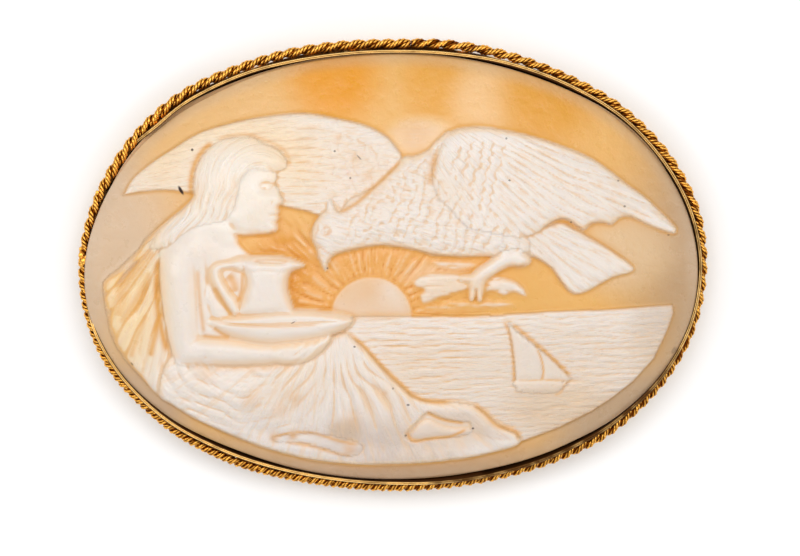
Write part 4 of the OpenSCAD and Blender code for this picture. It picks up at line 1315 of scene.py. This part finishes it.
# %% The colour of the cuts and the edges
# Where the cuts in the white show more amber: middle, reach, strength.
WARM_CUTS = [
    ((-24, -4), (6, 11), 1.0), ((-16, -3), (5, 6), 0.9), ((-9, 8), (7, 6), 0.8), ((4, -9), (10, 6), 0.7),
    ((14, -9), (5, 4), 0.8), ((9, 7), (7, 6), 0.4), ((8, -2), (6, 3), 0.8), ((-8, -11), (9, 4), 0.45),
]
warm = 0.3
for middle, reach, strength in WARM_CUTS:
    warm = calculate(tree, "MAXIMUM", patch(tree, place, middle, reach, strength), warm)
cut_color = mixed(tree, warm, seen(240, 214, 188), seen(240, 188, 124))
in_groove = in_range(tree, groove, 0.004, 0.06, 0.0, 0.8)
in_hollow = in_range(tree, hollow, 0.05, 0.45, 0.0, 0.5)
cut_through = calculate(tree, "MAXIMUM", in_groove, in_hollow)
cut_white = calculate(tree, "MULTIPLY", cut_through, in_range(tree, white, 0.1, 0.5))
base = mixed(tree, cut_white, shell, cut_color)
clouded = calculate(tree, "MULTIPLY", in_range(tree, soft_clouds, 0.4, 0.75, 0.0, 0.3), white)
base = mixed(tree, clouded, base, seen(242, 218, 190))
cut_lines = calculate(tree, "MULTIPLY", in_range(tree, fine_cuts, 0.5, 0.32, 0.0, 0.5), white)
base = mixed(tree, cut_lines, base, seen(243, 212, 180))
# Steep walls are painted paler and warmer: painted light that makes up for the shade they get, with the
# warmth of the amber through the thin white at their edges.
edge_warmth_and_light = mixed(tree, white, seen(255, 198, 124), seen(255, 226, 192))
steep = read_value(tree, "steepness")
at_edges = calculate(tree, "MULTIPLY", steep, 0.75)
base = mixed(tree, at_edges, base, edge_warmth_and_light)
amber_share = calculate(tree, "MULTIPLY", read_value(tree, "amber_lines"), 0.9)
base = mixed(tree, amber_share, base, seen(232, 168, 84))
print(len(WARM_CUTS), "patches with warm cuts")

# %% Pits, polish and fine bumps
# The small dark pits and marks of wear: place, reach, turn in degrees, strength.
MARKS = [
    ((-20.2, 7.3), (0.21, 0.62), 30, 1.0), ((-19.15, 11.15), (0.17, 0.17), 0, 0.9),
    ((-5.6, 11.2), (0.15, 0.13), 0, 0.7), ((-4.1, 8.7), (0.13, 0.15), 0, 0.6),
    ((-3.3, 10.65), (0.4, 0.1), -45, 0.5), ((10.6, 12.5), (0.14, 0.14), 0, 0.6),
    ((10.9, 8.6), (0.16, 0.12), 0, 0.6), ((21.3, 8.5), (0.16, 0.12), 0, 0.5),
    ((21.9, 6.1), (0.16, 0.14), 0, 0.6), ((16.8, 4.6), (0.14, 0.14), 0, 0.5),
    ((-3.6, -7.2), (0.16, 0.12), 0, 0.7), ((1.5, -12.8), (0.2, 0.14), 0, 0.7),
    ((7.7, -15.2), (0.16, 0.14), 0, 0.8), ((1.3, -15.9), (0.16, 0.14), 0, 0.6),
    ((-9.4, -4.9), (0.3, 0.08), 30, 0.6), ((-6.2, 0.2), (0.12, 0.12), 0, 0.6),
    ((26.9, -7.8), (0.5, 0.25), 60, 0.3), ((-24.9, -9.4), (0.25, 0.12), -50, 0.5),
    ((26.2, 3.3), (0.16, 0.12), 0, 0.5), ((0.05, -11.2), (0.14, 0.14), 0, 0.5),
]
pits = 0.0
for middle, reach, turn, strength in MARKS:
    mark = patch(tree, place, middle, reach, strength, 0.45, turn)
    pits = calculate(tree, "MAXIMUM", mark, pits)
base = mixed(tree, pits, base, seen(74, 46, 34))
base = mixed(tree, read_value(tree, "back"), base, seen(214, 170, 128))
tree.links.new(base, shader.inputs["Base Color"])
# The polish reaches the steep edges least, so they stay dull.
rough = in_range(tree, fine_clouds, 0.3, 0.7, 0.26, 0.38)
rough = calculate(tree, "ADD", rough, calculate(tree, "MULTIPLY", steep, 0.4))
tree.links.new(rough, shader.inputs["Roughness"])
shader.inputs["IOR"].default_value = 1.5
shader.inputs["Subsurface Weight"].default_value = 0.3
shader.inputs["Subsurface Radius"].default_value = (1.0, 0.7, 0.45)
shader.inputs["Subsurface Scale"].default_value = 0.0004
height = calculate(tree, "ADD", calculate(tree, "MULTIPLY", fine_cuts, 2.5), fine_clouds)
bump = add_node(tree, "ShaderNodeBump", None, Strength=0.45, Distance=0.0002, Height=height)
tree.links.new(bump.outputs[0], shader.inputs["Normal"])
dressed_cameo.data.materials.append(shell_finish)
print(len(tree.nodes), "nodes in the shell's material")

# %% [markdown]
# The setting is one strip of gold sheet, bent round the shell, with a lip rolled over its edge, a seat
# inside and a rim at the back. All of it has one section, so the section is spun round the oval: the
# oval has four arcs, and each spin goes on where the last one ended. The lip was pressed down by hand,
# so it leans out more at the ends of the oval than at the top.

# %% The section, spun round the four arcs
# Each row is a place of the section: outside the shell's edge, above the table, both in millimetres.
SECTION = [
    (0.34, 0.0), (0.34, 1.2), (0.34, 2.2), (0.52, 2.62), (0.68, 2.84), (0.62, 2.98), (0.44, 3.06),
    (0.32, 3.22), (0.3, 3.5), (0.33, 3.72), (0.375, 3.85), (0.385, 3.98), (0.375, 4.06), (0.35, 4.12),
    (0.31, 4.155), (0.27, 4.155), (0.235, 4.125), (0.215, 4.07), (0.195, 4.07), (0.175, 4.11),
    (0.145, 4.13), (0.11, 4.12), (0.075, 4.07), (0.045, 3.99), (0.04, 3.89), (0.06, 3.79), (0.1, 3.6),
    (0.1, 2.0), (-0.9, 2.0),
    (-0.9, 1.5), (0.1, 1.5), (0.1, 0.5), (-1.6, 0.5), (-1.6, 0.0)]
LIP_MIDDLE = 0.15
LIP_Z = 4.1
LIP_FOOT = 3.55
LEAN_FROM = 3.4
LEAN_ALL = 3.8
TUCK_DEPTH = 1.0
ROPE_HALF = 0.43
ARC_STEPS_END = 120
ARC_STEPS_SIDE = 150

bm = bmesh.new()
start_x = end_middle * MM
corners = []
for outside, up in SECTION:
    reach = (end_radius + outside) * MM
    corners.append(bm.verts.new((
        start_x + reach * np.cos(-join_angle), reach * np.sin(-join_angle), up * MM)))
section_edges = [bm.edges.new((corners[i - 1], corners[i])) for i in range(len(corners))]
turning = section_edges + corners
ARCS = [
    (end_middle, 0.0, 2 * join_angle, ARC_STEPS_END),
    (0.0, -side_middle, np.pi - 2 * join_angle, ARC_STEPS_SIDE),
    (-end_middle, 0.0, 2 * join_angle, ARC_STEPS_END),
    (0.0, side_middle, np.pi - 2 * join_angle, ARC_STEPS_SIDE),
]
for middle_x, middle_y, angle, steps in ARCS:
    spun = bmesh.ops.spin(
        bm, geom=turning, cent=(middle_x * MM, middle_y * MM, 0), axis=(0, 0, 1), angle=angle, steps=steps)
    turning = spun["geom_last"]
bmesh.ops.remove_doubles(bm, verts=bm.verts, dist=0.002 * MM)
bmesh.ops.recalc_face_normals(bm, faces=bm.faces)
places = np.array([v.co for v in bm.verts]) / MM
way_round, outside_edge, out_x, out_y = round_rim(places[:, 0], places[:, 1])
# Only the lip leans, so nothing moves below the first height and all of it above the second.
leaning = smooth_step((places[:, 2] - LEAN_FROM) / (LEAN_ALL - LEAN_FROM))
looks_out = looks_outside(places[:, 0], places[:, 1], LIP_Z, out_x, out_y)
lip_lean = by_table(LIP_PLACE, way_round) - LIP_MIDDLE - looks_out
lip_lean += 0.02 * noise(way_round * 40, places[:, 2] * 0, 1.0, 30)
# At the left, where the shell reaches the rope, the lip is tucked down under it, out of sight.
tucked = smooth_step((way_round - 0.4) / 0.035) * smooth_step((0.545 - way_round) / 0.04)
under_rope = by_table(ROPE_OUTSIDE, way_round) - 0.6 - LIP_MIDDLE
lean = (lip_lean * (1 - tucked) + under_rope * tucked) * leaning
drop = TUCK_DEPTH * tucked * leaning
for vert, push, nx, ny, fall in zip(bm.verts, lean, out_x, out_y, drop):
    vert.co += Vector((push * nx, push * ny, -fall)) * MM
print(f"the lip leans out by {lip_lean.min():.2f} to {lip_lean.max():.2f} mm")

# %% Tarnish and painted shade on the setting
# The dark stays on both sides of the lip, in its fine line, on the wall inside, and on the solder. On the
# lip's sides it is a painted reflection of the dark room, and on the wall inside it is painted shade.
across, up = outside_edge, places[:, 2]
# The lip's sides are painted dark, as reflections of the dark room, and the wall inside is painted dark, as
# the shade in the gap by the shell.
sides = (up > LIP_FOOT) & ((across > 0.34) | (across < 0.08))
inner_wall = (up < 3.95) & (across < 0.12)
# The lip's fine line is darkest at the right end of the oval and just left of its top. Its dark is
# partly tarnish in the groove and partly a painted reflection.
two_lines = 0.5 + 0.5 * np.cos(2 * np.pi * (way_round - 0.02))
two_lines = np.maximum(two_lines, np.exp(-(((way_round - 0.3) / 0.08) ** 2)))
fine_line = (up > 4) & (np.abs(across - 0.205) < 0.02)
# The lip is also darker and rougher along its lower right.
dull = smooth_step((way_round - 0.76) / 0.03) * smooth_step((0.975 - way_round) / 0.04) * (up > LIP_FOOT)
# The solder under the rope is dark, as tarnish and as painted shade beneath the rope.
soldered = (up > 2.3) & (up <= LIP_FOOT) & (across > 0.2)
# Drops of solder shine on the outer wall, and a stretch of it left of the top is less dark.
bright_drops = smooth_step((noise(way_round * 90, up * 0, 1.0, 63) - 0.62) / 0.2)
grey_wall = smooth_step((way_round - 0.27) / 0.02) * smooth_step((0.37 - way_round) / 0.03)
lip_wear = 0.08 + 0.12 * two_lines + 0.2 * noise(way_round * 50, up * 0, 1.0, 64)
setting_tarnish_and_shade = 0.85 * sides
# Where the lip is tucked under the rope it is painted dark, as the shade there.
for darkening in (
    inner_wall, (0.12 + 0.78 * two_lines) * fine_line, lip_wear * (up > LIP_FOOT), 0.7 * dull,
    soldered * (1 - 0.7 * bright_drops - 0.3 * grey_wall), tucked * (up > 3.0),
):
    setting_tarnish_and_shade = np.maximum(setting_tarnish_and_shade, darkening)
dressed_setting = mesh_object("dressed_setting", bm)
point_values(dressed_setting, "tarnish_and_shade", np.clip(setting_tarnish_and_shade, 0, 1))
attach(dressed_setting, "root")
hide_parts("setting")
print("setting faces:", len(dressed_setting.data.polygons))

# %% [markdown]
# The border is a cord of two strands, and each strand is a twist of three fine wires. Both twists turn
# the same way, which makes the fine wires cross the border steeply. Each wire is a curve with a round
# bevel: its path is the border's middle line, plus the strand's turn, plus the wire's own turn. The
# cord was twisted by hand, so it is tighter below than above, and its two ends meet at the top with a
# hair's breadth between them. A thin dark core stands for the solder and dirt in the heart of the cord,
# and for the shade there.

# %% The rope border
ROPE_Z = 3.22
STRAND_TURNS = 70
WIRES_IN_STRAND = 3
WIRE_TURNS = 132
# How tight the cord is twisted, at 16 even steps from the right end and up over the top.
TIGHTNESS = [1.0, 1.0, 1.0, 1.0, 1.0, 1.0, 1.0, 1.0, 1.4, 2.0, 2.2, 2.1, 1.8, 1.3, 1.2, 1.1]
WIRE_STEPS = 2200
CORE_STEPS = 600
STRAND_REACH = 0.22
WIRE_REACH = 0.175
WIRE_RADIUS = 0.13
CORE_RADIUS = 0.2
ROPE_JOIN = 0.2405
JOIN_GAP = 0.0005


def along_cord(steps):
    """Even shares of the way round, from one end of the cord to the other."""
    return np.linspace(ROPE_JOIN + JOIN_GAP, ROPE_JOIN + 1 - JOIN_GAP, steps)


def rope_path(steps, side, up, thick):
    """Places of a wire in the cord, beside and above its middle line."""
    way = along_cord(steps)
    base_x, base_y, normal_x, normal_y = rim_line(way)
    out = by_table(ROPE_OUTSIDE, way) - ROPE_HALF * thick + side * thick
    out = out - looks_outside(base_x, base_y, ROPE_Z, normal_x, normal_y)
    return np.stack([base_x + out * normal_x, base_y + out * normal_y, ROPE_Z + up * thick, way * 0], 1) * MM


def add_wire(name, radius, places_on_path):
    """A wire along a path, as a curve with a round bevel."""
    curve = bpy.data.curves.new(name, "CURVE")
    curve.dimensions = "3D"
    curve.bevel_depth = radius * MM
    curve.bevel_resolution = 1
    curve.use_fill_caps = True
    for path in places_on_path:
        spline = curve.splines.new("POLY")
        spline.points.add(len(path) - 1)
        path[:, 3] = 1
        spline.points.foreach_set("co", path.ravel())
    curve_object = bpy.data.objects.new(name, curve)
    bpy.context.scene.collection.objects.link(curve_object)
    bpy.context.view_layer.update()
    mesh = bpy.data.meshes.new_from_object(curve_object.evaluated_get(bpy.context.evaluated_depsgraph_get()))
    bpy.data.objects.remove(curve_object)
    return mesh


print(f"the cord goes round {4 * quarter:.0f} mm of the shell's edge with {STRAND_TURNS} turns")

# %% The six wires and the core
way = along_cord(WIRE_STEPS)
# The cord is a little thicker at the upper left, and thinner in one place near the right end.
thick = 1 + 0.12 * np.exp(-(((way % 1 - 0.41) / 0.04) ** 2)) + 0.05 * noise(way * 60, way * 0, 1.0, 31)
thick *= 1 - 0.3 * np.exp(-(((way % 1 - 0.954) / 0.012) ** 2))


def strand_place(way, strand):
    """The middle of a strand, beside and above the cord's middle line."""
    fine_way = np.linspace(0, 2, 2001)
    tightness = by_table(TIGHTNESS, fine_way)
    turns_made = np.cumsum(tightness) / np.sum(tightness) * 2
    turn = 2 * np.pi * (STRAND_TURNS * np.interp(way, fine_way, turns_made) + strand / 2)
    turn += 0.4 * noise(way * 45, way * 0, 1.0, 32)
    return STRAND_REACH * np.cos(turn), STRAND_REACH * np.sin(turn)


paths = []
for strand in range(2):
    strand_side, strand_up = strand_place(way, strand)
    for wire in range(WIRES_IN_STRAND):
        wire_turn = 2 * np.pi * (WIRE_TURNS * way + wire / WIRES_IN_STRAND) + strand
        wire_turn += 0.5 * noise(way * 80, way * 0, 1.0, 33)
        side = strand_side + WIRE_REACH * np.cos(wire_turn)
        up = strand_up + WIRE_REACH * np.sin(wire_turn)
        paths.append(rope_path(WIRE_STEPS, side, up, thick))
wire_mesh = add_wire("rope_wires", WIRE_RADIUS, paths)
still = np.zeros(CORE_STEPS)
core_mesh = add_wire("rope_core", CORE_RADIUS, [rope_path(CORE_STEPS, still, still, 1.0)])
print(len(paths), "wires of", WIRE_STEPS, "points each")

# %% The rope as one mesh, with drops of solder at the left
bm = bmesh.new()
bm.from_mesh(wire_mesh)
bm.from_mesh(core_mesh)
# Place and radius.
SOLDER_DROPS = [
    (-29.85, 0.9, 3.75, 0.26), (-29.6, 0.35, 3.8, 0.3), (-29.75, 0.0, 3.7, 0.2), (-29.35, 0.7, 3.85, 0.2),
    (-29.9, 1.5, 3.6, 0.16), (-28.3, 6.9, 3.6, 0.18)]
for x, y, z, radius in SOLDER_DROPS:
    drop_verts = bmesh.ops.create_icosphere(bm, subdivisions=2, radius=radius * MM)["verts"]
    bmesh.ops.scale(bm, verts=drop_verts, vec=(1.0, 1.3, 0.6))
    bmesh.ops.translate(bm, verts=drop_verts, vec=(x * MM, y * MM, z * MM))
rope = mesh_object("rope", bm)
spots = np.empty(len(rope.data.vertices) * 3, np.float32)
rope.data.vertices.foreach_get("co", spots)
spots = spots.reshape(-1, 3) / MM
rope_way, rope_outside, _, _ = round_rim(spots[:, 0], spots[:, 1])
# Tarnish and painted shade lie between the wires of a strand and between the strands, so the dark goes by
# how near the middle of its own strand a place is, and how near the other strand.
beside = rope_outside - by_table(ROPE_OUTSIDE, rope_way) + ROPE_HALF
rim_x, rim_y, rim_out_x, rim_out_y = rim_line(rope_way)
beside += looks_outside(rim_x, rim_y, ROPE_Z, rim_out_x, rim_out_y)
above = spots[:, 2] - ROPE_Z
from_strands = []
for strand in range(2):
    strand_side, strand_up = strand_place(rope_way, strand)
    from_strands.append(np.hypot(beside - strand_side, above - strand_up))
own, other = np.minimum(*from_strands), np.maximum(*from_strands)
rope_tarnish_and_shade = np.maximum(1 - smooth_step((own - 0.2) / 0.1), 1 - smooth_step((other - 0.3) / 0.16))
is_drop = np.arange(len(spots)) >= len(wire_mesh.vertices) + len(core_mesh.vertices)
# The lower half of the cord is painted darker, as shade on its side away from the light above.
below = smooth_step((rope_way - 0.52) / 0.1) * smooth_step((1.0 - rope_way) / 0.05)
rope_tarnish_and_shade = np.where(is_drop, 0.0, rope_tarnish_and_shade + 0.2 * below)
point_values(rope, "tarnish_and_shade", rope_tarnish_and_shade)
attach(rope, "root")
print("rope triangles:", sum(len(p.vertices) - 2 for p in rope.data.polygons))

# %% [markdown]
# The gold is one alloy, but it looks different where it is polished and where it is twisted: the wires
# keep dark tarnish between them, with painted shade there too. Both finishes share one node group for
# rubbing, tarnish and painted shade, with its own values in each material.

# %% Gold
wear_and_shade = bpy.data.node_groups.new("gold_wear_and_shade", "ShaderNodeTree")
wear_and_shade.interface.new_socket("Place", in_out="INPUT", socket_type="NodeSocketVector")
for name in ("Tarnish_and_shade", "Grain"):
    wear_and_shade.interface.new_socket(name, in_out="INPUT", socket_type="NodeSocketFloat")
for name in ("Dark", "Uneven"):
    wear_and_shade.interface.new_socket(name, in_out="OUTPUT", socket_type="NodeSocketFloat")
inside = wear_and_shade.nodes.new("NodeGroupInput")
outside = wear_and_shade.nodes.new("NodeGroupOutput")
grain = add_node(
    wear_and_shade, "ShaderNodeTexNoise", None, Vector=inside.outputs["Place"],
    Scale=inside.outputs["Grain"], Detail=4.0)
stir = in_range(wear_and_shade, grain.outputs[0], 0.35, 0.65, -0.18, 0.18)
dark = calculate(wear_and_shade, "ADD", inside.outputs["Tarnish_and_shade"], stir)
wear_and_shade.links.new(in_range(wear_and_shade, dark, 0.1, 0.9), outside.inputs["Dark"])
wear_and_shade.links.new(grain.outputs[0], outside.inputs["Uneven"])


def gold_material(name, light, dark_color, grain_size, rough_low, rough_high):
    """A gold finish: light metal, and a dark colour where the piece's own mask says, for tarnish and painted
    shade.
    """
    material, tree, shader = new_material(name)
    place = add_node(tree, "ShaderNodeTexCoord").outputs["Object"]
    group = tree.nodes.new("ShaderNodeGroup")
    group.node_tree = wear_and_shade
    tree.links.new(place, group.inputs["Place"])
    tree.links.new(read_value(tree, "tarnish_and_shade"), group.inputs["Tarnish_and_shade"])
    group.inputs["Grain"].default_value = grain_size
    color = mixed(tree, group.outputs["Dark"], light, dark_color)
    tree.links.new(color, shader.inputs["Base Color"])
    rough = in_range(tree, group.outputs["Uneven"], 0.3, 0.7, rough_low, rough_high)
    rough = calculate(tree, "ADD", rough, calculate(tree, "MULTIPLY", group.outputs["Dark"], 0.2))
    tree.links.new(rough, shader.inputs["Roughness"])
    shader.inputs["Metallic"].default_value = 1.0
    return material


polished_gold = gold_material(
    "polished_gold", (0.82, 0.54, 0.2, 1), (0.13, 0.055, 0.014, 1), 700.0, 0.26, 0.36)
rope_gold = gold_material(
    "rope_gold", (0.95, 0.48, 0.08, 1), (0.2, 0.045, 0.002, 1), 1500.0, 0.22, 0.36)
dressed_setting.data.materials.append(polished_gold)
rope.data.materials.append(rope_gold)
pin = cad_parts["pin"]
pin.data.materials.clear()
pin.data.materials.append(polished_gold)
print("finishes:", polished_gold.name, rope_gold.name)

# %% [markdown]
# The photograph is lit high and soft, on white: the shadows are faint, and the polished lip shows the
# bright ceiling and the darker room by turns. A large soft box above the picture's top, a weaker one
# on each side and a dim room give the same.

# %% The floor and the light
# The floor lies a hair below the brooch's back, so that the two don't touch.
FLOOR_Z = -0.05 * MM
bm = bmesh.new()
bmesh.ops.create_grid(bm, x_segments=1, y_segments=1, size=1.0)
floor = mesh_object("floor", bm)
for vert in floor.data.vertices:
    vert.co.z = FLOOR_Z
floor_finish, tree, shader = new_material("white_paper")
shader.inputs["Base Color"].default_value = (0.98, 0.975, 0.975, 1)
shader.inputs["Roughness"].default_value = 0.9
floor.data.materials.append(floor_finish)


def soft_box(name, place, width, depth, watts):
    """A rectangular lamp that faces the brooch."""
    lamp = bpy.data.lights.new(name, "AREA")
    lamp.shape = "RECTANGLE"
    lamp.size = width
    lamp.size_y = depth
    lamp.energy = watts
    lamp_object = bpy.data.objects.new(name, lamp)
    lamp_object.location = place
    lamp_object.rotation_euler = (-Vector(place)).to_track_quat("-Z", "Y").to_euler()
    bpy.context.scene.collection.objects.link(lamp_object)


soft_box("top_box", (0.0, 0.28, 0.66), 0.7, 0.5, 2.3)
soft_box("left_box", (-0.55, 0.1, 0.5), 0.3, 0.4, 1.05)
soft_box("right_box", (0.55, 0.05, 0.5), 0.3, 0.4, 0.9)
soft_box("low_box", (0.0, -0.5, 0.55), 0.6, 0.2, 0.65)
world = bpy.data.worlds.new("room")
world.use_nodes = True
background = next(n for n in world.node_tree.nodes if n.type == "BACKGROUND")
direction = add_node(world.node_tree, "ShaderNodeTexCoord").outputs["Generated"]
upward = add_node(world.node_tree, "ShaderNodeSeparateXYZ", None, Vector=direction).outputs["Z"]
glow = in_range(world.node_tree, upward, 0.0, 0.75, 0.52, 0.56)
world.node_tree.links.new(glow, background.inputs["Strength"])
background.inputs["Color"].default_value = (1, 1, 1, 1)
bpy.context.scene.world = world
bpy.context.scene.view_settings.view_transform = "Standard"
bpy.context.scene.view_settings.look = "None"
